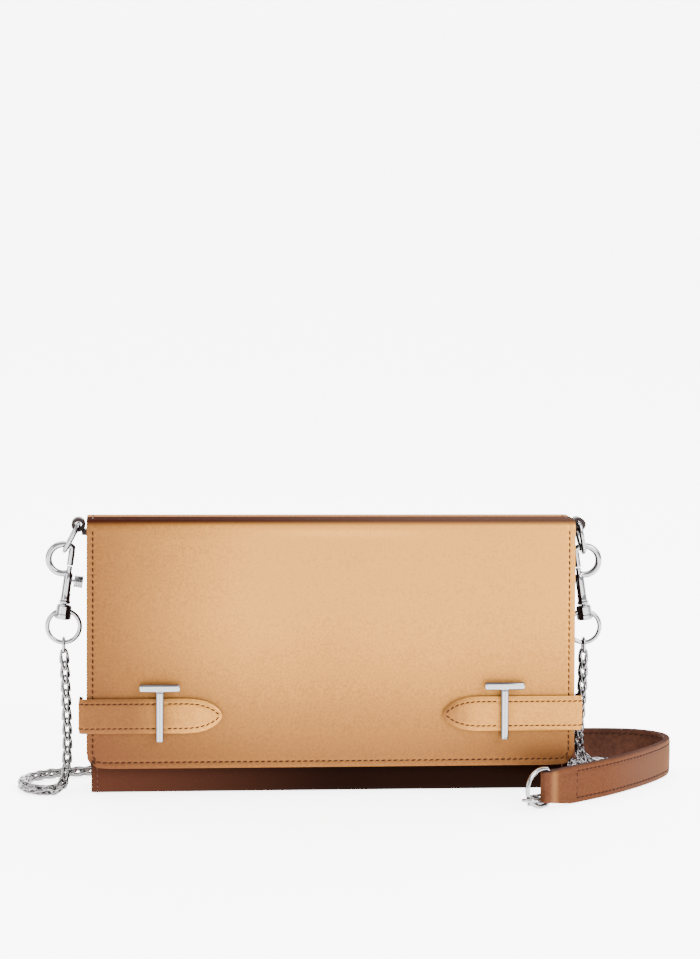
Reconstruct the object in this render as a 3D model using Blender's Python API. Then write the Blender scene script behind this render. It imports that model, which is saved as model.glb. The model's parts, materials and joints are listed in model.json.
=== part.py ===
"""Chain wallet: a leather flap wallet with two tab straps under T bars, a zipped coin pocket inside,
and a chain and leather shoulder strap clipped to a ring at each side.

Metres, +Z up, front towards -Y. The origin is the middle of the base, on the surface it stands on.
"""

import math

import bmesh
import bpy
from mathutils import Matrix, Vector

MM = 0.001
GAP = 0.3 * MM

# Leather body: depth at the base and the top, and the half width
HALF_WIDTH = 103 * MM
BACK_Y = 15 * MM
BASE_FRONT_Y = -15.2 * MM
TOP_FRONT_Y = -8.3 * MM
BACK_TOP_Z = 115.6 * MM
FRONT_TOP_Z = 113 * MM
BACK_ROLL = 4 * MM
FRONT_ROLL = 7 * MM
LEATHER = 1.2 * MM
BOARD = 0.9 * MM
LINING = 0.5 * MM

# Flap and the strip over the top that it hangs from
FLAP_HALF_WIDTH = 105 * MM
FLAP_TOP_Z = 115.4 * MM
FLAP_BOTTOM_Z = 12 * MM
FLAP_CORNER = 6.8 * MM
FLAP_LINING = 0.5 * MM
FLAP_BOARD = 0.7 * MM
FLAP_LEATHER = 1.1 * MM
FLAP_STAND_OFF = 1.3 * MM
SPINE_Y = (-9.0 * MM, 13.4 * MM)
SPINE_TOP_Z = 118 * MM
SPINE_LEATHER = 1.1 * MM
BACK_FOLD = (14.2 * MM, 116.6 * MM)
FRONT_FOLD = (-10.6 * MM, 116.6 * MM)

# Tab straps and T bars on the flap
TAB_WIDTH = 14.8 * MM
TAB_THICKNESS = 1.7 * MM
TAB_TIP_X = 47.5 * MM
TAB_SIDE_X = 108.2 * MM
TAB_CENTRE_Z = 34.6 * MM
TAB_POINT = 13.5 * MM
BAR_X = 74 * MM
BAR_TOP_Z = 48.4 * MM
BAR_FOOT_Z = 23.7 * MM
BAR_WIDTH = 3.3 * MM
BAR_DEPTH = 2.2 * MM
CROSSBAR = 17.4 * MM
POST_RADIUS = 1.1 * MM
MAGNET_RADIUS = 5 * MM
MAGNET_Z = 36.5 * MM

# Side hardware
RING_X = 108.6 * MM
RING_Y = 3 * MM
RING_Z = 114.7 * MM
RING_WIRE = 1.05 * MM
RING_HALF = 5.5 * MM
RING_DROP = 13 * MM
RING_TILT = {"left": 27.5, "right": 12.0}
HOOK_TILT = {"left": 8.0, "right": 9.0}
HOOK_WIRE = 1.45 * MM
HOOK_RADIUS = 6.3 * MM
O_RING_RADIUS = 7 * MM
O_RING_WIRE = 1.0 * MM
LINK_WIRE = 0.7 * MM
CHAIN_RADIUS = 2.4 * MM

# Shoulder pad and its rings
PAD_WIDTH = 16 * MM
PAD_THICKNESS = 3 * MM
PAD_END_WIDTH = 13.4 * MM
PAD_CENTRE_Z = 8.3 * MM
PAD_END_Z = 9.2 * MM
PAD_STEP = 7 * MM
PAD_TAPER = 14 * MM
PAD_RING_WIRE = 0.95 * MM
PAD_EYE_RADIUS = 3.0 * MM
PAD_BORE_RADIUS = 1.35 * MM

# Inside: card slots, coin pocket and its zip
CARD_HALF_WIDTH = 91 * MM
CARD_STEP = 12 * MM
CARD_THICKNESS = 0.7 * MM
COIN_HALF_WIDTH = 89 * MM
COIN_Y = (-0.6 * MM, 5.2 * MM)
COIN_WALL = 0.6 * MM
COIN_TOP_Z = 100 * MM
ZIP_Z = 97 * MM
ZIP_HALF = 86 * MM
SLIDER_X = -80 * MM

# Route points of the strap, in millimetres, from the left O-ring round the back to the right one
LEFT_CHAIN = [
    (-114.8, 3.0, 58.2), (-114.2, 2.4, 45.0), (-113.6, 0.6, 30.0), (-113.4, -2.6, 16.5),
    (-114.2, -7.6, 6.6), (-117.6, -12.8, 2.9), (-123.8, -14.6, 2.6), (-130.0, -9.5, 2.6),
    (-132.6, -0.5, 2.6), (-130.4, 9.5, 2.6), (-122.5, 17.5, 2.6), (-112.5, 21.5, 2.6),
    (-103.5, 24.5, 2.6), (-97.6, 33.0, 2.6), (-95.6, 47.0, 2.6), (-88.5, 61.0, 2.6),
    (-74.0, 67.8, 2.6), (-59.5, 65.5, 2.6), (-52.5, 57.0, 2.6), (-59.5, 49.2, 2.6),
    (-71.5, 47.6, 2.6), (-81.2, 40.6, 2.6), (-78.5, 31.8, 2.6), (-70.8, 29.6, 2.6),
    (-64.8, 29.6, 2.6),
]
PAD_ROUTE = [
    (88.3, -48.5), (97.0, -42.6), (108.0, -34.4), (118.8, -25.6), (129.0, -15.8), (138.2, -5.8),
    (146.2, 4.4), (152.0, 14.0), (154.4, 23.4), (152.6, 31.4), (146.6, 37.2), (137.3, 40.6),
    (123.0, 41.9), (105.0, 41.2), (84.0, 39.6), (60.0, 37.6), (30.0, 35.0), (0.0, 32.6),
    (-25.0, 31.0), (-47.0, 30.0),
]
SPIRAL_CENTRE = (123.5, 16.5)
SPIRAL_RADIUS = 7.6
SPIRAL_GROWTH = 5.4
SPIRAL_START_DEG = 270
SPIRAL_STEP_DEG = 30
SPIRAL_STEPS = 21
SPIRAL_LANDING = [5.6, 4.1, 3.0]
RIGHT_DROP = [
    (112.2, 3.0, 57.2), (112.0, 2.9, 44.0), (111.2, 2.6, 31.0), (110.6, 2.2, 22.0), (111.6, 3.4, 14.0),
    (115.5, 6.4, 8.9),
]
RIGHT_TAIL = [
    (106.9, 8.0, 2.6), (107.8, -2.0, 2.6), (107.6, -12.0, 2.6), (104.4, -21.6, 2.6), (98.6, -30.0, 2.6),
    (91.6, -37.4, 2.6), (85.6, -42.6, 2.6), (81.4, -45.2, 2.6),
]

BRONZE = ((0.50, 0.26, 0.14), 0.36, 0.55)
BROWN = ((0.06, 0.025, 0.015), 0.55, 0.0)
CLOTH = ((0.16, 0.10, 0.07), 0.85, 0.0)
CARD = ((0.35, 0.31, 0.27), 0.9, 0.0)
SILVER = ((0.82, 0.81, 0.80), 0.12, 1.0)
STEEL = ((0.45, 0.45, 0.46), 0.35, 1.0)


def clear_scene():
    for obj in list(bpy.data.objects):
        bpy.data.objects.remove(obj, do_unlink=True)


def material(name, finish):
    colour, roughness, metallic = finish
    made = bpy.data.materials.new(name)
    made.use_nodes = True
    shader = made.node_tree.nodes["Principled BSDF"]
    shader.inputs["Base Color"].default_value = (*colour, 1.0)
    shader.inputs["Roughness"].default_value = roughness
    shader.inputs["Metallic"].default_value = metallic
    return made


def place(name, data, finish):
    obj = bpy.data.objects.new(name, data)
    bpy.context.scene.collection.objects.link(obj)
    data.materials.append(material(name, finish))
    return obj


def mesh_object(name, bm, finish, smooth=False):
    bmesh.ops.recalc_face_normals(bm, faces=bm.faces)
    data = bpy.data.meshes.new(name)
    bm.to_mesh(data)
    bm.free()
    if smooth:
        data.shade_smooth()
        data.set_sharp_from_angle(angle=math.radians(35))
    return place(name, data, finish)


def add_prism(bm, outline, near, far, to_world):
    """A solid between two copies of an outline: to_world(a, b, height) gives each corner."""
    low = [bm.verts.new(to_world(a, b, near)) for a, b in outline]
    high = [bm.verts.new(to_world(a, b, far)) for a, b in outline]
    bm.faces.new(low)
    bm.faces.new(reversed(high))
    for i in range(len(outline)):
        j = (i + 1) % len(outline)
        bm.faces.new((low[j], low[i], high[i], high[j]))


def prism(name, outline, near, far, to_world, finish):
    bm = bmesh.new()
    add_prism(bm, outline, near, far, to_world)
    return mesh_object(name, bm, finish)


def across(y, z, x):
    return Vector((x, y, z))


def upright(x, y, z):
    return Vector((x, y, z))


def rectangle(a0, a1, b0, b1):
    return [(a0, b0), (a1, b0), (a1, b1), (a0, b1)]


def box(name, low, high, finish):
    return prism(name, rectangle(low[0], high[0], low[1], high[1]), low[2], high[2], upright, finish)


def arc(centre, radius, start, end, steps):
    """Points of an arc, its angles in degrees."""
    angles = [math.radians(start + (end - start) * i / steps) for i in range(steps + 1)]
    return [(centre[0] + radius * math.cos(t), centre[1] + radius * math.sin(t)) for t in angles]


def turned(name, profile, frame, finish, sides=16):
    """A solid turned about frame's Z axis from (radius, height) pairs that start and end on the axis."""
    bm = bmesh.new()
    rings = []
    for radius, height in profile:
        if radius == 0:
            rings.append([bm.verts.new(frame @ Vector((0, 0, height)))])
            continue
        ring = []
        for i in range(sides):
            t = math.tau * i / sides
            ring.append(bm.verts.new(frame @ Vector((radius * math.cos(t), radius * math.sin(t), height))))
        rings.append(ring)
    for low, high in zip(rings, rings[1:]):
        for i in range(sides):
            j = (i + 1) % sides
            face = [low[i % len(low)], low[j % len(low)], high[j % len(high)], high[i % len(high)]]
            corners = list(dict.fromkeys(face))
            bm.faces.new(corners)
    return mesh_object(name, bm, finish, smooth=True)


def ring_solid(name, profile, frame, finish, sides=20):
    """A ring turned about frame's Z axis from a closed outline of (radius, height) pairs."""
    bm = bmesh.new()
    rings = []
    for i in range(sides):
        t = math.tau * i / sides
        c, s = math.cos(t), math.sin(t)
        rings.append([bm.verts.new(frame @ Vector((r * c, r * s, h))) for r, h in profile])
    for i in range(sides):
        here, there = rings[i], rings[(i + 1) % sides]
        for j in range(len(profile)):
            k = (j + 1) % len(profile)
            bm.faces.new((here[j], here[k], there[k], there[j]))
    return mesh_object(name, bm, finish, smooth=True)


def wire(name, points, radius, finish, closed=False, resolution=2):
    """A round wire or tube along points."""
    data = bpy.data.curves.new(name, "CURVE")
    data.dimensions = "3D"
    data.bevel_depth = radius
    data.bevel_resolution = resolution
    data.use_fill_caps = True
    spline = data.splines.new("POLY")
    spline.points.add(len(points) - 1)
    for point, position in zip(spline.points, points):
        point.co = (*position, 1.0)
    spline.use_cyclic_u = closed
    return place(name, data, finish)


def as_mesh(curve):
    """The same wire as a mesh object, which a Boolean can use."""
    name = curve.name
    data = bpy.data.meshes.new_from_object(curve.evaluated_get(bpy.context.evaluated_depsgraph_get()))
    bm = bmesh.new()
    bm.from_mesh(data)
    bmesh.ops.remove_doubles(bm, verts=bm.verts, dist=1e-6)
    bmesh.ops.recalc_face_normals(bm, faces=bm.faces)
    bm.to_mesh(data)
    bm.free()
    bpy.data.objects.remove(curve, do_unlink=True)
    made = bpy.data.objects.new(name, data)
    bpy.context.scene.collection.objects.link(made)
    return made


def combine(target, others, operation):
    for other in others:
        step = target.modifiers.new(other.name, "BOOLEAN")
        step.operation = operation
        step.object = other
        other.hide_render = True
        other.display_type = "WIRE"


def smooth_route(route, spacing):
    """Points a fixed spacing apart along a smooth curve through the route's points."""
    knots = [Vector(p) for p in route]
    knots = [2 * knots[0] - knots[1]] + knots + [2 * knots[-1] - knots[-2]]
    fine = []
    for a, b, c, d in zip(knots, knots[1:], knots[2:], knots[3:]):
        for i in range(24):
            t = i / 24
            fine.append(0.5 * (2 * b + (c - a) * t + (2 * a - 5 * b + 4 * c - d) * t * t
                               + (3 * b - a - 3 * c + d) * t * t * t))
    fine.append(knots[-2])
    along = [0.0]
    for p, q in zip(fine, fine[1:]):
        along.append(along[-1] + (q - p).length)
    count = max(2, round(along[-1] / spacing))
    points, k = [], 0
    for i in range(count + 1):
        want = along[-1] * i / count
        while k < len(fine) - 2 and along[k + 1] < want:
            k += 1
        t = (want - along[k]) / max(along[k + 1] - along[k], 1e-9)
        points.append(fine[k].lerp(fine[k + 1], min(t, 1.0)))
    return points


# ------------------------------------------------------------------ body

LEAN = Vector((TOP_FRONT_Y - BASE_FRONT_Y, FRONT_TOP_Z)).normalized()
OUT = Vector((-LEAN.y, LEAN.x))


def front_at(z, inset):
    """Y of the front panel's surface at a height, inset into the body (negative is outside)."""
    base = Vector((BASE_FRONT_Y, 0)) - OUT * inset
    return base.x + LEAN.x * (z - base.y) / LEAN.y


def wrap_line(inset, back_top, front_top):
    """The body's outline from the top of the back, under the base and up the front, at an inset."""
    back = BACK_Y - inset
    low = inset
    back_roll = max(BACK_ROLL - inset, 0.8 * MM)
    front_roll = max(FRONT_ROLL - inset, 0.8 * MM)
    lean_deg = math.degrees(math.atan2(LEAN.x, LEAN.y))
    roll_y = front_at(low + front_roll, inset + front_roll)
    points = [(back, back_top)]
    points += arc((back - back_roll, low + back_roll), back_roll, 0, -90, 5)
    points += arc((roll_y, low + front_roll), front_roll, -90, -180 - lean_deg, 8)
    points.append((front_at(front_top, inset), front_top))
    return points


def wrap_shell(name, near, far, half_width, drop, finish):
    outer = wrap_line(near, BACK_TOP_Z - drop, FRONT_TOP_Z - drop)
    inner = wrap_line(far, BACK_TOP_Z - drop, FRONT_TOP_Z - drop)
    return prism(name, outer + inner[::-1], -half_width, half_width, across, finish)


def flap_point(u, z, out):
    """World place of a point of the flap, given across, by its height, and outwards from its inner face."""
    y = front_at(z, -FLAP_STAND_OFF)
    return Vector((u, y, z)) + Vector((0, OUT.x, OUT.y)) * out


def disc_frame(x, z, out):
    """A frame on the flap whose Z axis points out of it."""
    axis = Vector((0, OUT.x, OUT.y))
    turn = axis.to_track_quat("Z", "X").to_matrix().to_4x4()
    return Matrix.Translation(flap_point(x, z, out)) @ turn


def thick_line(points, thickness):
    """A closed outline a thickness across that follows a zigzag line."""
    sides = ([], [])
    for i, point in enumerate(points):
        before = (Vector(point) - Vector(points[max(i - 1, 0)])).normalized()
        after = (Vector(points[min(i + 1, len(points) - 1)]) - Vector(point)).normalized()
        along = (before + after).normalized()
        normal = Vector((-along.y, along.x))
        edge = after if after.length else before
        reach = thickness / 2 / max(abs(normal.dot(Vector((-edge.y, edge.x)))), 0.35)
        sides[0].append(tuple(Vector(point) + normal * reach))
        sides[1].append(tuple(Vector(point) - normal * reach))
    return sides[0] + sides[1][::-1]


def gusset(name, side):
    """A concertina end wall between the back and the front, narrower at the top."""
    bm = bmesh.new()
    rings = []
    for z in (3.9 * MM, 111.5 * MM):
        back = BACK_Y - 4.4 * MM
        front = front_at(z, 4.5 * MM)
        middle = RING_Y - (RING_Y - (back + front) / 2) * (z < 50 * MM)
        flat = 3.2 * MM
        outer_x = 102.2 * MM
        fold_x = 97.2 * MM
        line = [
            (outer_x, back), (fold_x, (back + middle + flat) / 2), (outer_x, middle + flat),
            (outer_x, middle - flat), (fold_x, (front + middle - flat) / 2), (outer_x, front),
        ]
        outline = thick_line(line, 0.8 * MM)
        rings.append([bm.verts.new((side * x, y, z)) for x, y in outline])
    low, high = rings
    bm.faces.new(low)
    bm.faces.new(reversed(high))
    for i in range(len(low)):
        j = (i + 1) % len(low)
        bm.faces.new((low[j], low[i], high[i], high[j]))
    mesh_object(name, bm, BROWN)


def leather_body():
    wrap_shell("outer_wrap", 0, LEATHER, HALF_WIDTH, 0, BRONZE)
    first = LEATHER + GAP
    second = first + BOARD
    wrap_shell("body_lining", second + GAP, second + GAP + LINING, 101 * MM, 0.6 * MM, CLOTH)
    box("back_board", (-99 * MM, BACK_Y - second, 6 * MM), (99 * MM, BACK_Y - first, 113 * MM), CARD)
    box("base_board", (-99 * MM, -7.6 * MM, first), (99 * MM, 10.4 * MM, second), CARD)
    outline = rectangle(-99 * MM, 99 * MM, 9 * MM, 110 * MM)

    def in_front(x, z, inset):
        return Vector((x, front_at(z, inset), z))

    front_board = prism("front_board", outline, first, second, in_front, CARD)
    for side, word in ((-1, "left"), (1, "right")):
        gusset(f"gusset_{word}", side)
        magnet_hole(front_board, side, first, second)
        frame = disc_frame(side * BAR_X, MAGNET_Z, -FLAP_STAND_OFF - second)
        profile = [(0, 0), (MAGNET_RADIUS, 0), (MAGNET_RADIUS, BOARD), (0, BOARD)]
        turned(f"front_magnet_{word}", profile, frame, STEEL)


def magnet_hole(board, side, near, far):
    frame = disc_frame(side * BAR_X, MAGNET_Z, -FLAP_STAND_OFF - far - 2 * MM)
    radius = MAGNET_RADIUS + GAP
    height = far - near + 4 * MM
    profile = [(0, 0), (radius, 0), (radius, height), (0, height)]
    cutter = turned(f"{board.name}_hole_{'right' if side > 0 else 'left'}", profile, frame, STEEL)
    combine(board, [cutter], "DIFFERENCE")


# ------------------------------------------------------------------ flap

def flap_outline(margin):
    half = FLAP_HALF_WIDTH - margin
    corner = max(FLAP_CORNER - margin, 1 * MM)
    low = FLAP_BOTTOM_Z + margin
    top = FLAP_TOP_Z - margin * 0.5
    left = arc((-half + corner, low + corner), corner, 180, 270, 6)
    right = arc((half - corner, low + corner), corner, 270, 360, 6)
    return [(-half, top)] + left + right + [(half, top)]


def post_holes(part):
    cutters = []
    for side in (-1, 1):
        for z in (BAR_TOP_Z - BAR_WIDTH / 2, BAR_FOOT_Z + BAR_WIDTH / 2):
            frame = disc_frame(side * BAR_X, z, -2 * MM)
            radius = POST_RADIUS + GAP
            profile = [(0, 0), (radius, 0), (radius, 8 * MM), (0, 8 * MM)]
            cutters.append(turned(f"{part.name}_hole", profile, frame, STEEL, sides=12))
    combine(part, cutters, "DIFFERENCE")


def flap():
    board_in = FLAP_LINING + GAP
    leather_in = board_in + FLAP_BOARD + GAP
    face = leather_in + FLAP_LEATHER
    post_holes(prism("flap_lining", flap_outline(0.5 * MM), 0, FLAP_LINING, flap_point, CLOTH))
    board = prism("flap_board", flap_outline(3 * MM), board_in, board_in + FLAP_BOARD, flap_point, CARD)
    post_holes(board)
    post_holes(prism("flap_leather", flap_outline(0), leather_in, face, flap_point, BRONZE))
    for side, word in ((-1, "left"), (1, "right")):
        magnet_hole(board, side, -FLAP_STAND_OFF - board_in - FLAP_BOARD, -FLAP_STAND_OFF - board_in)
        frame = disc_frame(side * BAR_X, MAGNET_Z, board_in)
        profile = [(0, 0), (MAGNET_RADIUS, 0), (MAGNET_RADIUS, FLAP_BOARD), (0, FLAP_BOARD)]
        turned(f"flap_magnet_{word}", profile, frame, STEEL)
        tab_strap(f"tab_strap_{word}", side, face + GAP)
        t_bar(f"t_bar_{word}", side, face + GAP + TAB_THICKNESS + GAP)
    post_washers()
    y0, y1 = SPINE_Y
    low = SPINE_TOP_Z - SPINE_LEATHER
    half = FLAP_HALF_WIDTH
    box("spine_leather", (-half, y0, low), (half, y1, SPINE_TOP_Z), BRONZE)
    box("spine_lining", (-half + 0.5 * MM, y0, low - GAP - LINING), (half - 0.5 * MM, y1, low - GAP), CLOTH)


def tab_strap(name, side, near):
    """A pointed strap along the flap whose outer end turns back round the flap's side edge."""
    far = near + TAB_THICKNESS
    half = TAB_WIDTH / 2
    shoulder = TAB_TIP_X + TAB_POINT
    curve = [(0.0, 1.0), (0.3, 0.93), (0.6, 0.72), (0.85, 0.4), (0.96, 0.16)]
    upper = [(shoulder - TAB_POINT * a, TAB_CENTRE_Z + half * b) for a, b in curve]
    lower = [(x, 2 * TAB_CENTRE_Z - z) for x, z in reversed(upper)]
    outer = TAB_SIDE_X - 1.2 * MM
    outline = [(outer, TAB_CENTRE_Z + half)] + upper + [(TAB_TIP_X, TAB_CENTRE_Z)] + lower
    outline.append((outer, TAB_CENTRE_Z - half))
    outline = [(side * x, z) for x, z in outline]
    strap = prism(name, outline, near, far, flap_point, BRONZE)
    inner_x = TAB_SIDE_X - TAB_THICKNESS
    bend = arc((TAB_SIDE_X - 2 * MM, far - 2 * MM), 2 * MM, 90, 0, 5)
    turn = [(inner_x - 3 * MM, near), (inner_x - 3 * MM, far)] + bend
    turn += [(TAB_SIDE_X, -6 * MM), (inner_x, -6 * MM), (inner_x, near)]

    def turned_edge(x, out, z):
        return flap_point(side * x, z, out)

    low_z = TAB_CENTRE_Z - half
    leg = prism(f"{name}_turn", turn, low_z, low_z + TAB_WIDTH, turned_edge, BRONZE)
    combine(strap, [leg], "UNION")


def t_bar(name, side, near):
    """A crossbar and a stem over the strap, on two posts that pass through the flap."""
    far = near + BAR_DEPTH
    half = BAR_WIDTH / 2
    centre = side * BAR_X
    arm = CROSSBAR / 2
    under = BAR_TOP_Z - BAR_WIDTH
    outline = [
        (centre - arm, BAR_TOP_Z), (centre - arm, under), (centre - half, under), (centre - half, BAR_FOOT_Z),
        (centre + half, BAR_FOOT_Z), (centre + half, under), (centre + arm, under), (centre + arm, BAR_TOP_Z),
    ]
    bar = prism(name, outline, near, far, flap_point, SILVER)
    posts = []
    for z in (BAR_TOP_Z - half, BAR_FOOT_Z + half):
        frame = disc_frame(centre, z, -0.85 * MM)
        height = near + 1.6 * MM
        profile = [(0, 0), (POST_RADIUS, 0), (POST_RADIUS, height), (0, height)]
        posts.append(turned(f"{name}_post", profile, frame, SILVER, sides=12))
    combine(bar, posts, "UNION")


def post_washers():
    """The four discs that the T bars' posts are riveted over, inside the flap."""
    profile = rectangle(POST_RADIUS + 0.25 * MM, 2.6 * MM, 0, 0.5 * MM)
    for side, word in ((-1, "left"), (1, "right")):
        for place_word, z in (("top", BAR_TOP_Z - BAR_WIDTH / 2), ("foot", BAR_FOOT_Z + BAR_WIDTH / 2)):
            frame = disc_frame(side * BAR_X, z, -0.85 * MM)
            ring_solid(f"post_washer_{word}_{place_word}", profile, frame, STEEL, sides=12)


# ------------------------------------------------------------------ inside

def card_slots():
    back = BACK_Y - 3.2 * MM - GAP
    for number in range(4):
        outer = back - number * (CARD_THICKNESS + GAP)
        top = 97 * MM - number * CARD_STEP
        low, high = (-CARD_HALF_WIDTH, outer - CARD_THICKNESS, 5 * MM), (CARD_HALF_WIDTH, outer, top)
        box(f"card_slot_{number + 1}", low, high, BROWN)


def coin_pocket():
    y0, y1 = COIN_Y
    half = COIN_HALF_WIDTH
    pocket = box("coin_pocket", (-half, y0, 5 * MM), (half, y1, COIN_TOP_Z), CLOTH)
    low = (-half + COIN_WALL, y0 + COIN_WALL, 5.6 * MM)
    hollow = box("coin_pocket_hollow", low, (half - COIN_WALL, y1 - COIN_WALL, COIN_TOP_Z + 5 * MM), CLOTH)
    combine(pocket, [hollow], "DIFFERENCE")
    middle = (y0 + y1) / 2
    reach = (y1 - y0) / 2 - COIN_WALL - GAP
    profile = [(0.35, -0.7), (1.0, -0.7), (1.0, -0.2), (reach / MM, -0.2), (reach / MM, 0.2),
               (1.0, 0.2), (1.0, 0.7), (0.35, 0.7)]
    for side, word in ((-1, "front"), (1, "back")):
        outline = [(middle + side * y * MM, ZIP_Z + z * MM) for y, z in profile]
        prism(f"zip_row_{word}", outline, -ZIP_HALF, ZIP_HALF, across, STEEL)
    zip_slider(middle)


def zip_slider(middle):
    low, high = 1.1 * MM, 1.8 * MM
    length = 3.5 * MM
    plates = []
    for word, z0, z1 in (("top", low, high), ("bottom", -high, -low)):
        plates.append(box(f"slider_{word}", (SLIDER_X - length, middle - 1.6 * MM, ZIP_Z + z0),
                          (SLIDER_X + length, middle + 1.6 * MM, ZIP_Z + z1), SILVER))
    web = 0.1 * MM
    plates.append(box("slider_web", (SLIDER_X - 1 * MM, middle - web, ZIP_Z - 1.5 * MM),
                      (SLIDER_X + 1 * MM, middle + web, ZIP_Z + 1.5 * MM), SILVER))
    for y in (-1.35, 1.35):
        plates.append(box("slider_lug", (SLIDER_X - 0.9 * MM, middle + (y - 0.25) * MM, ZIP_Z + 1.5 * MM),
                          (SLIDER_X + 0.9 * MM, middle + (y + 0.25) * MM, ZIP_Z + 3.9 * MM), SILVER))
    pin_z = ZIP_Z + 3.1 * MM
    frame = Matrix.Translation((SLIDER_X, middle - 1.3 * MM, pin_z)) @ Matrix.Rotation(-math.pi / 2, 4, "X")
    plates.append(turned("slider_pin", [(0, 0), (0.35 * MM, 0), (0.35 * MM, 2.6 * MM), (0, 2.6 * MM)],
                         frame, SILVER, sides=8))
    body = plates[0]
    body.name = "zip_slider"
    combine(body, plates[1:], "UNION")
    half = 0.75 * MM
    tab = [(-0.95, 0.0)] + arc((0, 0), 0.95, 150, 60, 4)
    tab += [(2.0, 0.45), (14.0, 0.45), (14.0, -0.45), (2.0, -0.45)]
    tab += arc((0, 0), 0.95, -60, -150, 4)
    outline = [(x * MM, z * MM) for x, z in tab]

    def on_pin(x, z, y):
        return Vector((SLIDER_X + x, middle + y, pin_z + z))

    pull = prism("zip_pull", outline, -half, half, on_pin, SILVER)
    frame = Matrix.Translation((SLIDER_X, middle - 2 * MM, pin_z)) @ Matrix.Rotation(-math.pi / 2, 4, "X")
    bore_profile = [(0, 0), (0.6 * MM, 0), (0.6 * MM, 4 * MM), (0, 4 * MM)]
    bore = turned("zip_pull_bore", bore_profile, frame, SILVER, sides=10)
    combine(pull, [bore], "DIFFERENCE")


# ------------------------------------------------------------------ side hardware

def side_frame(side, word):
    """The frame of a hook: origin in the D-ring's lower wire, X outwards, Z along the shank."""
    tilt = math.radians(RING_TILT[word])
    x = side * (RING_X + RING_DROP * math.sin(tilt))
    z = RING_Z - RING_DROP * math.cos(tilt)
    lean = Matrix.Rotation(-math.radians(HOOK_TILT[word]), 4, "Y")
    flip = Matrix.Diagonal((side, 1, 1, 1))
    return Matrix.Translation((x, RING_Y, z)) @ flip @ lean


def at(frame, x, y, z):
    return frame @ Vector((x * MM, y * MM, z * MM))


def ring_loop(side, word):
    """A leather loop round the D-ring's bar, with a tail on the end wall."""
    inner = RING_WIRE + 0.4 * MM
    outer = 3.0 * MM
    reach = 3.9 * MM
    profile = rectangle(inner, outer, -reach, reach)
    frame = Matrix.Translation((side * RING_X, RING_Y, RING_Z)) @ Matrix.Rotation(math.pi / 2, 4, "X")
    loop = ring_solid(f"ring_loop_{word}", profile, frame, BROWN)
    inner_x, outer_x = sorted((side * 103.4 * MM, side * 104.9 * MM))
    tail = box(f"ring_loop_{word}_tail", (inner_x, RING_Y - reach, 100 * MM),
               (outer_x, RING_Y + reach, RING_Z), BROWN)
    near_x, far_x = sorted((side * 103.4 * MM, side * 107.0 * MM))
    neck = box(f"ring_loop_{word}_neck", (near_x, RING_Y - reach, 110.4 * MM),
               (far_x, RING_Y + reach, 112.7 * MM), BROWN)
    combine(loop, [tail, neck], "UNION")


def d_ring(name, bar, outwards, half, drop, radius, finish=SILVER):
    """A D of wire: its straight bar lies along Y or Z at bar, and its bow reaches drop outwards."""
    along = Vector((0, 0, 1)) if abs(outwards.z) < 0.1 else Vector((0, 1, 0))
    shoulder = drop * 0.3
    points = [bar + along * (half * s) for s in (-0.96, 0, 0.96)]
    for y, x in arc((0, 0), 1, 0, 180, 12):
        points.append(bar + along * (half * y) + outwards * (shoulder + (drop - shoulder) * x))
    return wire(name, points, radius, finish, closed=True)


def snap_hook(side, word):
    frame = side_frame(side, word)
    gate_x = -3.2
    bow_z = -3.5
    path = mirrored_arc(bow_z, -66.0, -300.5) + [(gate_x, -0.4), (gate_x, -5.8)]
    bow = as_mesh(wire(f"hook_bow_{word}", [at(frame, x, 0, z) for x, z in path], HOOK_WIRE, SILVER))
    shank_frame = frame @ Matrix.Translation((gate_x * MM, 0, 0))
    shank = [(0, -22.5), (2.3, -22.5), (2.5, -21.6), (2.1, -20.6), (2.0, -11.0), (1.75, -9.4), (0, -9.4)]
    body = turned(f"snap_hook_{word}", scaled(shank[::-1]), shank_frame, SILVER)
    bore = [(0, -20.9), (1.5, -20.9), (1.5, -6.8), (0, -6.8)]
    hole = [(0, -24), (1.15, -24), (1.15, -20.0), (0, -20.0)]
    cut_bore = turned(f"hook_bore_{word}", scaled(bore), shank_frame, STEEL, sides=12)
    cut_hole = turned(f"hook_hole_{word}", scaled(hole), shank_frame, STEEL, sides=12)
    slot = frame_box(f"hook_slot_{word}", frame, (-8, -1.05, -17.9), (gate_x, 1.05, -11.0))
    combine(body, [bow], "UNION")
    combine(body, [cut_bore, cut_hole, slot], "DIFFERENCE")
    gate_and_spring(word, frame, shank_frame, gate_x)
    swivel(word, shank_frame)


def mirrored_arc(bow_z, start, end):
    """Points of the hook's bow round its centre, open towards the gate."""
    points = []
    for i in range(15):
        t = math.radians(start + (end - start) * i / 14)
        points.append((-HOOK_RADIUS / MM * math.cos(t), bow_z + HOOK_RADIUS / MM * math.sin(t)))
    return points


def scaled(profile):
    return [(r * MM, h * MM) for r, h in profile]


def frame_box(name, frame, low, high):
    bm = bmesh.new()

    def corner(x, y, z):
        return at(frame, x, y, z)

    add_prism(bm, rectangle(low[0], high[0], low[1], high[1]), low[2], high[2], corner)
    return mesh_object(name, bm, STEEL)


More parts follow.
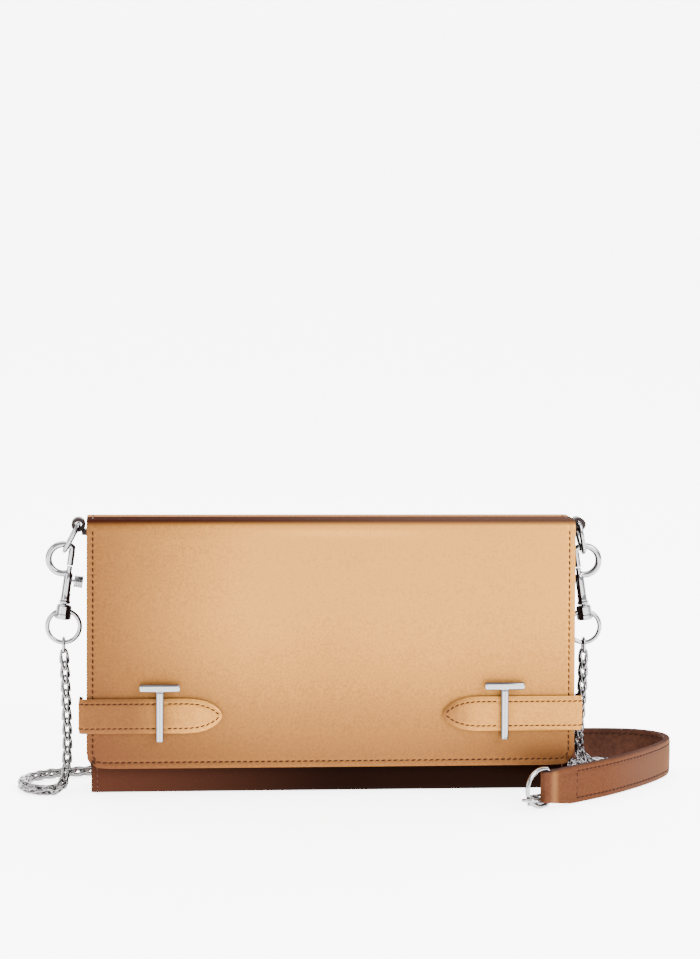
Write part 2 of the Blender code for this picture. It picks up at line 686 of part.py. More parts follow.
def gate_and_spring(word, frame, shank_frame, gate_x):
    """The gate plunger with its thumb knob, and the spring that pushes it shut."""
    plunger = [(0, -15.6), (1.15, -15.6), (1.15, -6.2), (0, -6.2)]
    gate = turned(f"gate_{word}", scaled(plunger), shank_frame, SILVER, sides=12)
    across_frame = frame @ Matrix.Translation((gate_x * MM, 0, -12.4 * MM))
    across_frame = across_frame @ Matrix.Rotation(-math.pi / 2, 4, "Y")
    knob = [(0, 0), (0.75, 0), (0.75, 2.7), (2.5, 2.7), (2.7, 3.2), (2.7, 6.0), (2.4, 6.5), (0, 6.5)]
    thumb = turned(f"gate_knob_{word}", scaled(knob), across_frame, SILVER, sides=14)
    combine(gate, [thumb], "UNION")
    coils = []
    for i in range(41):
        t = math.tau * 5 * i / 40
        coils.append(at(shank_frame, 0.95 * math.cos(t), 0.95 * math.sin(t), -19.6 + 3.5 * i / 40))
    wire(f"gate_spring_{word}", coils, 0.2 * MM, STEEL, resolution=1)


def swivel(word, shank_frame):
    """The eye under the shank, on a rivet that turns in it, with the round ring and the end link."""
    base = [(0, -19.85), (1.25, -19.85), (1.25, -20.45), (0.8, -20.45), (0.8, -22.9), (2.6, -22.9),
            (3.3, -23.6), (3.3, -27.0), (3.6, -27.4), (3.6, -28.9), (3.2, -29.3), (0, -29.3)]
    body = turned(f"swivel_{word}", scaled(base[::-1]), shank_frame, SILVER, sides=16)
    hang = at(shank_frame, 0, 0, -25.6)
    centre = hang - Vector((0, 0, O_RING_RADIUS))
    circle = []
    for i in range(24):
        t = math.tau * i / 24
        circle.append(centre + Vector((math.cos(t), 0, math.sin(t))) * O_RING_RADIUS)
    wire(f"o_ring_{word}", circle, O_RING_WIRE, SILVER, closed=True)
    tunnel = as_mesh(wire(f"swivel_tunnel_{word}", circle, O_RING_WIRE + 0.5 * MM, SILVER, closed=True))
    combine(body, [tunnel], "DIFFERENCE")
    end_link(word, centre - Vector((0, 0, O_RING_RADIUS)))


def oval(centre, along, across_axis, half_length, half_width):
    """Points of an oval link with straight sides."""
    straight = half_length - half_width
    points = []
    for sign in (1, -1):
        for a, b in arc((0, 0), half_width, -90, 90, 5):
            points.append(centre + along * (sign * (straight + a)) + across_axis * (sign * b))
    return points


def end_link(word, wire_place):
    half_length = 3.1 * MM
    centre = wire_place + Vector((0, 0, O_RING_WIRE + 0.3 * MM + LINK_WIRE - half_length))
    points = oval(centre, Vector((0, 0, 1)), Vector((0, 1, 0)), half_length, 2.2 * MM)
    wire(f"end_link_{word}", points, LINK_WIRE, SILVER, closed=True)


def side_hardware():
    for side, word in ((-1, "left"), (1, "right")):
        ring_loop(side, word)
        tilt = math.radians(RING_TILT[word])
        outwards = Vector((side * math.sin(tilt), 0, -math.cos(tilt)))
        bar = Vector((side * RING_X, RING_Y, RING_Z))
        d_ring(f"d_ring_{word}", bar, outwards, RING_HALF, RING_DROP, RING_WIRE)
        snap_hook(side, word)


# ------------------------------------------------------------------ shoulder strap

def right_chain_route():
    """Down from the right ring, round a flat spiral that opens outwards, and along to the pad's near ring."""
    spiral = []
    for i in range(SPIRAL_STEPS + 1):
        turned_deg = i * SPIRAL_STEP_DEG
        t = math.radians(SPIRAL_START_DEG + turned_deg)
        radius = SPIRAL_RADIUS + SPIRAL_GROWTH * turned_deg / 360
        z = SPIRAL_LANDING[i] if i < len(SPIRAL_LANDING) else 2.6
        x = SPIRAL_CENTRE[0] + radius * math.cos(t)
        y = SPIRAL_CENTRE[1] + radius * math.sin(t)
        spiral.append((x, y, z))
    return RIGHT_DROP + spiral + RIGHT_TAIL


def pad(name):
    """The strap's leather pad: a flat band on its edge, narrowed and folded round a ring at each end."""
    route = smooth_route([(x * MM, y * MM, 0) for x, y in PAD_ROUTE], PAD_STEP)
    bm = bmesh.new()
    rings = []
    for i, point in enumerate(route):
        before, after = route[max(i - 1, 0)], route[min(i + 1, len(route) - 1)]
        along = (after - before).normalized()
        normal = Vector((-along.y, along.x, 0))
        from_end = min(i, len(route) - 1 - i) * PAD_STEP
        taper = max(0.0, 1 - from_end / PAD_TAPER)
        half_height = (PAD_WIDTH + (PAD_END_WIDTH - PAD_WIDTH) * taper) / 2
        z = PAD_CENTRE_Z + (PAD_END_Z - PAD_CENTRE_Z) * taper
        corners = []
        for a, b in ((-1, -1), (1, -1), (1, 1), (-1, 1)):
            corners.append(bm.verts.new(Vector((point.x, point.y, z + b * half_height))
                                        + normal * (a * PAD_THICKNESS / 2)))
        rings.append(corners)
    for here, there in zip(rings, rings[1:]):
        for j in range(4):
            k = (j + 1) % 4
            bm.faces.new((here[j], here[k], there[k], there[j]))
    bm.faces.new(rings[0][::-1])
    bm.faces.new(rings[-1])
    band = mesh_object(name, bm, BRONZE)
    eyes, bores = [], []
    for word, place_at in (("near", route[0]), ("far", route[-1])):
        frame = Matrix.Translation((place_at.x, place_at.y, PAD_END_Z))
        half = PAD_END_WIDTH / 2
        eye = [(0, -half), (PAD_EYE_RADIUS, -half), (PAD_EYE_RADIUS, half), (0, half)]
        bore = [(0, -2 * half), (PAD_BORE_RADIUS, -2 * half), (PAD_BORE_RADIUS, 2 * half), (0, 2 * half)]
        eyes.append(turned(f"{name}_eye_{word}", eye, frame, BRONZE, sides=12))
        bores.append(turned(f"{name}_bore_{word}", bore, frame, BRONZE, sides=12))
    combine(band, eyes, "UNION")
    combine(band, bores, "DIFFERENCE")
    return route


def strap():
    left = smooth_route([(x * MM, y * MM, z * MM) for x, y, z in LEFT_CHAIN], 9 * MM)
    wire("chain_left", left, CHAIN_RADIUS, SILVER)
    right = smooth_route([(x * MM, y * MM, z * MM) for x, y, z in right_chain_route()], 7.5 * MM)
    wire("chain_right", right, CHAIN_RADIUS, SILVER)
    route = pad("shoulder_pad")
    ends = (("near", route[0], route[0] - route[1], right), ("far", route[-1], route[-1] - route[-2], left))
    for word, end, outwards, chain in ends:
        bar = Vector((end.x, end.y, PAD_END_Z))
        outwards = outwards.normalized()
        half = PAD_END_WIDTH / 2 + GAP + PAD_RING_WIRE
        d_ring(f"pad_ring_{word}", bar, outwards, half, 11.5 * MM, PAD_RING_WIRE)
        pad_link(word, bar, outwards, chain[-1])


def pad_link(word, bar, outwards, chain_end):
    """A sloping link that joins the pad ring's bow to the end of the chain."""
    grip = bar + outwards * (9.95 * MM)
    grip.z = 4.6 * MM
    along = (Vector((chain_end.x, chain_end.y, CHAIN_RADIUS)) - grip).normalized()
    across_axis = Vector((-along.y, along.x, 0)).normalized()
    half_length = 4.6 * MM
    centre = grip + along * (half_length - LINK_WIRE - 1.9 * MM)
    points = oval(centre, along, across_axis, half_length, 2.9 * MM)
    wire(f"pad_link_{word}", points, LINK_WIRE, SILVER, closed=True)


def main():
    clear_scene()
    leather_body()
    flap()
    card_slots()
    coin_pocket()
    side_hardware()
    strap()


main()
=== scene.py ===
# %% [markdown]
# # A chain wallet in bronze leather
#
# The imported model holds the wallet's frame: where every piece sits, and how the flap, the rings and the zip
# move. This notebook makes the surface that a buyer would see: metallic leather with sewn seams and painted
# edges, polished fittings, and a woven chain. Everything is in metres, with the front of the wallet towards
# -Y.

# %% Load the frame
import json
import math

import bpy
import numpy as np
from mathutils import Matrix, Vector

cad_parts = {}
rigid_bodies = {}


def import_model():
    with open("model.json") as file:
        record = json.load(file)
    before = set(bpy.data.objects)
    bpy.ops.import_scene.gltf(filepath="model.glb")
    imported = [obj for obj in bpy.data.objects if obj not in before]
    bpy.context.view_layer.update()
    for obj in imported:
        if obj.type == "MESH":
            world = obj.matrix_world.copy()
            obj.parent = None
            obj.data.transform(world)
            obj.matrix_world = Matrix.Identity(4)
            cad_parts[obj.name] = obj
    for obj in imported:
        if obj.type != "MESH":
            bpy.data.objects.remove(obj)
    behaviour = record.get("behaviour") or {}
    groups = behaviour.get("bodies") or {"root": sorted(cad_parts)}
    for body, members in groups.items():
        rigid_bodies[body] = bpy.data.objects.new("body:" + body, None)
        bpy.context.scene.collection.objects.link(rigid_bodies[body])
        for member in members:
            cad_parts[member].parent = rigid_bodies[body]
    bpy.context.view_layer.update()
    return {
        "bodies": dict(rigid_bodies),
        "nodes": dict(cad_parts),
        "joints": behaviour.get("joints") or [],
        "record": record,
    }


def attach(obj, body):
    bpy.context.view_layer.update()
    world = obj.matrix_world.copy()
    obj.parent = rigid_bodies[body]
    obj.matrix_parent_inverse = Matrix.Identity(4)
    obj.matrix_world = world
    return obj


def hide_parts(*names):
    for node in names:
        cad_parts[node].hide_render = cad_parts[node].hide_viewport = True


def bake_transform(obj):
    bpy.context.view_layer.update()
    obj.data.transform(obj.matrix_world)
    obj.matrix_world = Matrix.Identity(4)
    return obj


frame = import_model()
MM = 0.001
HERE = Matrix.Identity(4)
SIDES = ((-1, "left"), (1, "right"))

# %% [markdown]
# ## The camera
#
# A product photographer stands a little more than a metre away with a long lens, so that the wallet's long
# edges stay nearly parallel. The camera looks down by 9.5 degrees and stands a little to the wallet's left.

# %% Camera
CAMERA_DISTANCE = 1.10
CAMERA_LENS = 95.8
CAMERA_AZIMUTH = math.radians(-5.0)
CAMERA_ELEVATION = math.radians(9.5)
CAMERA_ROLL = math.radians(0.55)
WALLET_MIDDLE = Vector((0.001, -0.012, 0.0585))
AIM = WALLET_MIDDLE + Vector((0.0060, 0, 0.0770))


def new_object(name, data):
    obj = bpy.data.objects.new(name, data)
    bpy.context.scene.collection.objects.link(obj)
    return obj


def direction_from(azimuth, elevation):
    """The unit vector from the wallet towards a point at this azimuth and elevation."""
    flat = math.cos(elevation)
    return Vector((math.sin(azimuth) * flat, -math.cos(azimuth) * flat, math.sin(elevation)))


def add_camera():
    data = bpy.data.cameras.new("camera")
    data.lens = CAMERA_LENS
    data.sensor_width = 36.0
    data.clip_start = 0.05
    camera = new_object("camera", data)
    camera.location = WALLET_MIDDLE + direction_from(CAMERA_AZIMUTH, CAMERA_ELEVATION) * CAMERA_DISTANCE
    turn = (AIM - camera.location).to_track_quat("-Z", "Y")
    camera.rotation_euler = (turn.to_matrix() @ Matrix.Rotation(CAMERA_ROLL, 3, "Z")).to_euler()
    bpy.context.scene.camera = camera
    return camera


camera = add_camera()
print("camera at", [round(v, 3) for v in camera.location])

# %% [markdown]
# ## Shader maths in Python
#
# A material is a small graph. Written as expressions it is easier to read than as a list of links, so this
# class wraps a socket: adding or multiplying two of them adds the Math node that does it.


# %% Sockets as numbers
class Value:
    """A socket, or a number, that can be used in an expression."""

    def __init__(self, graph, socket):
        self.graph = graph
        self.socket = socket

    def _math(self, operation, other, swap=False):
        pair = (other, self) if swap else (self, other)
        return self.graph.node("ShaderNodeMath", {"operation": operation}, pair)

    def __add__(self, other):
        return self._math("ADD", other)

    def __sub__(self, other):
        return self._math("SUBTRACT", other)

    def __rsub__(self, other):
        return self._math("SUBTRACT", other, True)

    def __mul__(self, other):
        return self._math("MULTIPLY", other)

    def __abs__(self):
        return self.graph.node("ShaderNodeMath", {"operation": "ABSOLUTE"}, [self])

    def smooth(self, low, high):
        """0 below low, 1 above high, and an eased step between them."""
        settings = {"interpolation_type": "SMOOTHSTEP"}
        limits = {"Value": self, "From Min": low, "From Max": high}
        return self.graph.node("ShaderNodeMapRange", settings, limits)


class Graph:
    """A material's node tree. One method adds any node; place is the object's own coordinates."""

    def __init__(self, name):
        self.material = bpy.data.materials.new(name)
        self.material.use_nodes = True
        self.tree = self.material.node_tree
        self.shader = self.tree.nodes["Principled BSDF"]
        self.place = self.node("ShaderNodeTexCoord", output="Object")

    def node(self, kind, settings=None, inputs=(), output=0):
        made = self.tree.nodes.new(kind)
        for key, value in (settings or {}).items():
            setattr(made, key, value)
        pairs = inputs.items() if isinstance(inputs, dict) else enumerate(inputs)
        for key, value in pairs:
            if isinstance(value, Value):
                self.tree.links.new(value.socket, made.inputs[key])
            else:
                made.inputs[key].default_value = value
        return Value(self, made.outputs[output])

    def axis(self, name):
        return self.node("ShaderNodeSeparateXYZ", None, [self.place], name)

    def noise(self, scale, detail=2.0, roughness=0.5):
        return self.node("ShaderNodeTexNoise", None,
                         {"Vector": self.place, "Scale": scale, "Detail": detail, "Roughness": roughness})

    def cells(self, scale):
        return self.node("ShaderNodeTexVoronoi", {"feature": "F1"}, {"Vector": self.place, "Scale": scale})

    def mix(self, factor, dark, light):
        return self.node("ShaderNodeMix", {"data_type": "RGBA"}, {0: factor, 6: dark, 7: light}, output=2)

    def wave(self, along, pitch):
        return self.node("ShaderNodeMath", {"operation": "SINE"}, [along * (math.tau / pitch)])

    def bump(self, height, strength, distance=0.0002):
        return self.node("ShaderNodeBump", None,
                         {"Strength": strength, "Distance": distance, "Height": height})

    def set(self, **inputs):
        for key, value in inputs.items():
            socket = self.shader.inputs[key.replace("_", " ")]
            if isinstance(value, Value):
                self.tree.links.new(value.socket, socket)
            else:
                socket.default_value = value
        return self.material


def rgb(r, g, b):
    """A display colour from 0 to 255 as the linear colour that a shader takes."""
    linear = [((v / 255 + 0.055) / 1.055) ** 2.4 if v > 10 else v / 255 / 12.92 for v in (r, g, b)]
    return (*linear, 1.0)


# %% [markdown]
# ## Finishes
#
# The leather is a smooth calf with a metallic foil finish: a bronze base that is half mirror, half paint,
# with a very fine grain and soft clouds of lighter and darker foil. Cut edges are painted dark and
# polished. The fittings are bright plated metal with only the faintest unevenness.


# %% Leather and edge paint
def foil(g, colour, roughness=0.4, metal=0.45, extra=0.0):
    """The foil surface shared by every bronze piece: a fine grain with small pores under a little coat."""
    fine = g.noise(900.0, 3.0, 0.6)
    pores = g.cells(1500.0)
    height = fine * 0.6 + pores * 0.5 + extra
    return g.set(Base_Color=colour, Metallic=metal, Roughness=(fine - 0.5) * 0.16 + roughness,
                 Normal=g.bump(height, 0.25, 0.00012), Coat_Weight=0.012, Coat_Roughness=0.3,
                 Specular_IOR_Level=0.0, Specular_Tint=(1.0, 0.62, 0.38, 1))


def mottled(g, amount=0.3):
    """A value around 0 that wanders by half of amount either way, in clouds and in fine specks."""
    clouds = g.noise(20.0, 3.0)
    speck = g.noise(1100.0, 2.0)
    return (clouds - 0.5) * amount + (speck - 0.5) * amount * 3.0


def plain_leather(name, colour, shade, roughness, grain=1100.0, strength=0.4, specular=0.05):
    g = Graph(name)
    creases = g.noise(grain, 4.0, 0.65)
    pores = g.cells(grain * 1.3)
    wear = g.noise(60.0, 2.0)
    tone = wear * 0.5 + creases * 0.5
    return g.set(Base_Color=g.mix(tone.smooth(0.3, 0.75), shade, colour),
                 Roughness=(creases - 0.5) * 0.2 + roughness,
                 Normal=g.bump(creases * 0.6 + pores * 0.4, strength, 0.0002), Specular_IOR_Level=specular)


FOIL_LIGHT = (0.37, 0.160, 0.032, 1)
FOIL_DARK = (0.050, 0.0165, 0.0095, 1)
DARK = plain_leather("dark_leather", rgb(44, 24, 19), rgb(24, 13, 10), 0.5)
PAD_BACK = plain_leather("pad_backing_leather", rgb(69, 41, 30), rgb(43, 26, 20), 0.62, 500.0, 0.7, 0.02)
EDGE = plain_leather("edge_paint", rgb(63, 44, 38), rgb(41, 30, 27), 0.45, 400.0, 0.15, 0.0)
RIM = plain_leather("rim_paint", rgb(30, 16, 13), rgb(18, 9, 8), 0.5, 400.0, 0.15, 0.0)
print("leathers:", DARK.name, PAD_BACK.name, EDGE.name)


# %% Metal, thread and cloth
def plated(name, colour, roughness, unevenness=0.02):
    g = Graph(name)
    smear = g.noise(180.0, 3.0)
    dents = g.noise(420.0, 1.0)
    return g.set(Base_Color=colour, Metallic=1.0, Roughness=smear * 0.07 + roughness,
                 Normal=g.bump(dents, unevenness, 0.0003))


def twisted_thread(name, colour, shade):
    g = Graph(name)
    fibre = g.noise(3800.0, 2.0)
    return g.set(Base_Color=g.mix(fibre, shade, colour), Roughness=0.62, Normal=g.bump(fibre, 0.5, 0.0001),
                 Specular_IOR_Level=0.05)


def twill(name, colour, shade, pitch=0.0007):
    g = Graph(name)
    slope = g.axis("X") + g.axis("Y") * 0.4 + g.axis("Z")
    threads = g.wave(slope, pitch) * 0.5 + 0.5
    fuzz = g.noise(2500.0, 2.0)
    return g.set(Base_Color=g.mix(threads * 0.6 + fuzz * 0.4, shade, colour), Roughness=0.86,
                 Normal=g.bump(threads + fuzz * 0.5, 0.35, 0.0002), Specular_IOR_Level=0.05)


SILVER = plated("polished_plate", (0.235, 0.226, 0.230, 1), 0.06)
CHAIN_METAL = plated("chain_plate", (0.130, 0.122, 0.122, 1), 0.14)
STEEL = plated("plain_steel", (0.16, 0.16, 0.163, 1), 0.32, 0.1)
THREAD = twisted_thread("seam_thread", rgb(48, 22, 10), rgb(24, 10, 5))
DARK_THREAD = twisted_thread("dark_thread", rgb(74, 44, 32), rgb(40, 22, 16))
CLOTH = twill("lining_twill", rgb(68, 47, 37), rgb(46, 30, 23))
BOARD = plain_leather("board", rgb(205, 196, 182), rgb(178, 168, 152), 0.9, 700.0, 0.2)
print("metals, threads and cloths are ready")

# %% [markdown]
# ## The modeller's helpers
#
# Three ways of making a shape cover nearly every piece. A skin is a grid that is laid onto a surface and
# given a thickness. A wire is a smooth line with a round section. A turned piece is a profile spun about an
# axis.


# %% Working with one object at a time
def only(*objects):
    """Selects just these objects, and makes the first one active."""
    bpy.ops.object.select_all(action="DESELECT")
    for obj in objects:
        obj.select_set(True)
    bpy.context.view_layer.objects.active = objects[0]


def apply_modifier(obj, kind, **settings):
    only(obj)
    bpy.ops.object.modifier_add(type=kind)
    step = obj.modifiers[-1]
    for key, value in settings.items():
        setattr(step, key, value)
    bpy.ops.object.modifier_apply(modifier=step.name)


def smooth(obj, degrees=40):
    only(obj)
    bpy.ops.object.shade_smooth_by_angle(angle=math.radians(degrees))


def paint(obj, *materials):
    obj.data.materials.clear()
    for material in materials:
        obj.data.materials.append(material)
    return obj


def join(name, objects):
    only(*objects)
    bpy.ops.object.join()
    made = bpy.context.view_layer.objects.active
    made.name = name
    return made


# %% Skins
SEAM = 2.6
SEAM_ROWS = [0.0, 0.35, 0.9, SEAM - 0.75, SEAM - 0.4, SEAM, SEAM + 0.4, SEAM + 0.8, SEAM + 1.8]


def lay_skin(name, us, vs, place):
    """A grid whose rows and columns stand at us and vs, laid onto place(u, v)."""
    bpy.ops.object.select_all(action="DESELECT")
    bpy.ops.mesh.primitive_grid_add(x_subdivisions=len(us) - 1, y_subdivisions=len(vs) - 1, size=1)
    obj = bpy.context.object
    obj.name = name
    for vertex in obj.data.vertices:
        i = round((vertex.co.x + 0.5) * (len(us) - 1))
        j = round((vertex.co.y + 0.5) * (len(vs) - 1))
        vertex.co = place(us[i], vs[j])
    return obj


def face_towards(obj, direction):
    """Turns all of an open skin's faces over if most of them look away from a direction."""
    facing = sum((p.normal * p.area for p in obj.data.polygons), Vector())
    if facing.dot(Vector(direction)) < 0:
        obj.data.flip_normals()
    return obj


def face_round(obj, centre):
    """Turns a wrapped skin's faces over if most of them look towards its centre."""
    facing = sum(p.normal.dot(p.center - centre) * p.area for p in obj.data.polygons)
    if facing < 0:
        obj.data.flip_normals()
    return obj


def thicken(obj, depth, edge, materials):
    """Gives a skin its thickness, inwards from its outer face, with rounded edges and painted rims."""
    paint(obj, *materials)
    apply_modifier(obj, "SOLIDIFY", thickness=depth, offset=-1.0, use_rim=True, material_offset=1,
                   material_offset_rim=2, use_even_offset=True)
    if edge:
        apply_modifier(obj, "BEVEL", width=edge, segments=2, limit_method="ANGLE",
                       angle_limit=math.radians(50), material=2)
    smooth(obj, 50)
    return obj


def steps(low, high, most):
    """Evenly spaced values from low to high, no more than most apart."""
    count = max(1, math.ceil((high - low) / most - 1e-9))
    return [low + (high - low) * i / count for i in range(count + 1)]


def seam_columns(half, inner):
    """Positions across a sewn panel, in millimetres: close together at the edges and round the seams."""
    rest = steps(-half + SEAM_ROWS[-1], half - SEAM_ROWS[-1], inner)
    return [-half + e for e in SEAM_ROWS] + rest[1:-1] + [half - e for e in reversed(SEAM_ROWS)]


def dip(distance, seam, depth=0.16 * MM, width=0.42 * MM):
    """How far a seam pulls the leather in, at a distance from the panel's edge."""
    edge_roll = 0.12 * MM * math.exp(-distance / (0.35 * MM))
    return depth * math.exp(-((distance - seam) / width) ** 2) + edge_roll


# %% Wires and turned pieces
def wire(name, points, radius, material, closed=False, sides=5):
    """A round wire through points, as a mesh."""
    data = bpy.data.curves.new(name, "CURVE")
    data.dimensions = "3D"
    data.bevel_depth = radius
    data.bevel_resolution = sides
    data.use_fill_caps = True
    spline = data.splines.new("POLY")
    spline.points.add(len(points) - 1)
    for point, position in zip(spline.points, points):
        point.co = (*position, 1.0)
    spline.use_cyclic_u = closed
    obj = new_object(name, data)
    only(obj)
    bpy.ops.object.convert(target="MESH")
    made = bpy.context.object
    weld_and_face_out(made)
    smooth(made, 60)
    return paint(made, material)


def weld_and_face_out(obj, within=1e-6):
    only(obj)
    bpy.ops.object.mode_set(mode="EDIT")
    bpy.ops.mesh.select_all(action="SELECT")
    bpy.ops.mesh.remove_doubles(threshold=within)
    bpy.ops.mesh.normals_make_consistent(inside=False)
    bpy.ops.object.mode_set(mode="OBJECT")


def turned(name, profile, place, material, count=40, angle=35):
    """A profile of (radius, height) pairs in millimetres, spun about place's Z axis."""
    data = bpy.data.meshes.new(name)
    edges = [(i, i + 1) for i in range(len(profile) - 1)]
    data.from_pydata([(r * MM, 0, h * MM) for r, h in profile], edges, [])
    obj = new_object(name, data)
    only(obj)
    bpy.ops.object.mode_set(mode="EDIT")
    bpy.ops.mesh.select_all(action="SELECT")
    bpy.ops.mesh.spin(steps=count, angle=math.tau, center=(0, 0, 0), axis=(0, 0, 1))
    bpy.ops.object.mode_set(mode="OBJECT")
    weld_and_face_out(obj)
    obj.data.transform(place)
    if place.determinant() < 0:
        obj.data.flip_normals()
    smooth(obj, angle)
    return paint(obj, material)


def block(name, low, high, place, material, edge=0.0, segments=3):
    """A cube between two corners, in millimetres, with rounded edges, put at place."""
    bpy.ops.object.select_all(action="DESELECT")
    bpy.ops.mesh.primitive_cube_add(size=1)
    obj = bpy.context.object
    obj.name = name
    low, high = Vector(low) * MM, Vector(high) * MM
    for vertex in obj.data.vertices:
        vertex.co = (low + high) / 2 + Vector([c * (high - low)[k] for k, c in enumerate(vertex.co)])
    if edge:
        apply_modifier(obj, "BEVEL", width=edge * MM, segments=segments, limit_method="ANGLE")
    obj.data.transform(place)
    if place.determinant() < 0:
        obj.data.flip_normals()
    smooth(obj, 35)
    return paint(obj, material)


def boolean(obj, others, operation):
    for other in others:
        apply_modifier(obj, "BOOLEAN", object=other, operation=operation, solver="EXACT")
        bpy.data.objects.remove(other, do_unlink=True)


def distances(points):
    """How far along a line each of its points is."""
    along = [0.0]
    for p, q in zip(points, points[1:]):
        along.append(along[-1] + (q - p).length)
    return along


def locate(along, want, k=0):
    """The stretch of a line in which a distance along it lies, and how far through the stretch that is."""
    while k < len(along) - 2 and along[k + 1] < want:
        k += 1
    return k, (want - along[k]) / max(along[k + 1] - along[k], 1e-9)


def smooth_route(route, spacing):
    """Points a fixed spacing apart along a smooth curve through the route's points."""
    knots = [Vector(p) for p in route]
    knots = [2 * knots[0] - knots[1]] + knots + [2 * knots[-1] - knots[-2]]
    fine = []
    for a, b, c, d in zip(knots, knots[1:], knots[2:], knots[3:]):
        for i in range(24):
            t = i / 24
            fine.append(0.5 * (2 * b + (c - a) * t + (2 * a - 5 * b + 4 * c - d) * t * t
                               + (3 * b - a - 3 * c + d) * t * t * t))
    fine.append(knots[-2])
    along = distances(fine)
    count = max(2, round(along[-1] / spacing))
    points, k = [], 0
    for i in range(count + 1):
        k, t = locate(along, along[-1] * i / count, k)
        points.append(fine[k].lerp(fine[k + 1], min(t, 1.0)))
    return points


def length_of(points):
    return distances(points)[-1]


print("helpers are ready")

# %% [markdown]
# ## The chain
#
# The strap hangs from a woven wheat chain. Every link is a long loop of wire folded in half like a hairpin;
# the next link, a quarter turn on, passes through it. Modelling one link and copying it along the route
# gives the herringbone of the real chain. The route is the one that the frame's plain tubes follow.

# %% Routes of the strap, in millimetres
LEFT_CHAIN = [
    (-114.8, 3.0, 58.2), (-114.2, 2.4, 45.0), (-113.6, 0.6, 30.0), (-113.4, -2.6, 16.5),
    (-114.2, -7.6, 6.6), (-117.6, -12.8, 2.9), (-123.8, -14.6, 2.6), (-130.0, -9.5, 2.6),
    (-132.6, -0.5, 2.6), (-130.4, 9.5, 2.6), (-122.5, 17.5, 2.6), (-112.5, 21.5, 2.6),
    (-103.5, 24.5, 2.6), (-97.6, 33.0, 2.6), (-95.6, 47.0, 2.6), (-88.5, 61.0, 2.6),
    (-74.0, 67.8, 2.6), (-59.5, 65.5, 2.6), (-52.5, 57.0, 2.6), (-59.5, 49.2, 2.6),
    (-71.5, 47.6, 2.6), (-81.2, 40.6, 2.6), (-78.5, 31.8, 2.6), (-70.8, 29.6, 2.6),
    (-64.8, 29.6, 2.6),
]
RIGHT_DROP = [
    (112.2, 3.0, 57.2), (112.0, 2.9, 44.0), (111.2, 2.6, 31.0), (110.6, 2.2, 22.0), (111.6, 3.4, 14.0),
    (115.5, 6.4, 8.9),
]
RIGHT_TAIL = [
    (106.9, 8.0, 2.6), (107.8, -2.0, 2.6), (107.6, -12.0, 2.6), (104.4, -21.6, 2.6), (98.6, -30.0, 2.6),
    (91.6, -37.4, 2.6), (85.6, -42.6, 2.6), (81.4, -45.2, 2.6),
]
SPIRAL_CENTRE = (123.5, 16.5)
SPIRAL_LANDING = [5.6, 4.1, 3.0]
SPIRAL_RADIUS, SPIRAL_GROWTH, SPIRAL_POINTS_PER_TURN = 7.6, 5.4, 12
CHAIN_ON_FLOOR = 2.6


def right_chain_route():
    """Down from the right ring, round a flat spiral that opens outwards, and along to the pad's near ring."""
    spiral = []
    for i in range(22):
        t = math.radians(270 + 360 / SPIRAL_POINTS_PER_TURN * i)
        radius = SPIRAL_RADIUS + SPIRAL_GROWTH * i / SPIRAL_POINTS_PER_TURN
        z = SPIRAL_LANDING[i] if i < len(SPIRAL_LANDING) else CHAIN_ON_FLOOR
        spiral.append((SPIRAL_CENTRE[0] + radius * math.cos(t), SPIRAL_CENTRE[1] + radius * math.sin(t), z))
    return RIGHT_DROP + spiral + RIGHT_TAIL


# %% One link, copied along the route
LINK_PITCH = 3.05 * MM
LINK_HEIGHT = 6.6 * MM
LINK_ARM = 1.62 * MM
LINK_LOOP = 1.3 * MM
LINK_WIRE = 0.64 * MM


def folded_link():
    """A hairpin link: its fold at the origin, its two ends up at either side. Returns its model."""
    points = []
    for i in range(16):
        t = math.tau * i / 16
        u, v = math.sin(t), math.cos(t)
        lift = abs(u)
        x = LINK_ARM * math.copysign(1 - (1 - lift) ** 2.2, u)
        points.append(Vector((x, LINK_LOOP * v, LINK_HEIGHT * lift ** 1.35)))
    obj = wire("link_model", points, LINK_WIRE, CHAIN_METAL, closed=True, sides=1)
    return as_model(obj)


def frames_along(points, start_side):
    """Points with a steady sideways direction: each one carries the last one's side along."""
    side = Vector(start_side)
    found = []
    for i, point in enumerate(points):
        along = (points[min(i + 1, len(points) - 1)] - points[max(i - 1, 0)]).normalized()
        side = (side - along * side.dot(along)).normalized()
        found.append((point, along, side.copy()))
    return found


def as_model(obj):
    """A small piece's vertices and faces, ready to be copied. The piece itself goes away."""
    verts = np.array([v.co for v in obj.data.vertices], float)
    faces = [tuple(p.vertices) for p in obj.data.polygons]
    bpy.data.objects.remove(obj, do_unlink=True)
    return verts, faces


def copies(name, model, matrices, material):
    """One mesh that holds a copy of a small model at each matrix."""
    verts, faces = model
    all_verts, all_faces = [], []
    for number, matrix in enumerate(matrices):
        m = np.array(matrix, float)
        all_verts.append(verts @ m[:3, :3].T + m[:3, 3])
        all_faces += [tuple(k + number * len(verts) for k in face) for face in faces]
    data = bpy.data.meshes.new(name)
    data.from_pydata(np.concatenate(all_verts).tolist(), [], all_faces)
    data.shade_smooth()
    obj = new_object(name, data)
    return paint(obj, material)


LINK = folded_link()


def chain_piece(name, frames, first, last):
    """Links first to last of a chain, each turned a quarter from the one before."""
    matrices = []
    for number in range(first, last):
        point, along, side = frames[number]
        x = side if number % 2 else along.cross(side)
        y = along.cross(x)
        turn = Matrix((x, y, along)).transposed().to_4x4()
        matrices.append(Matrix.Translation(point - along * LINK_PITCH) @ turn)
    return copies(name, LINK, matrices, CHAIN_METAL)


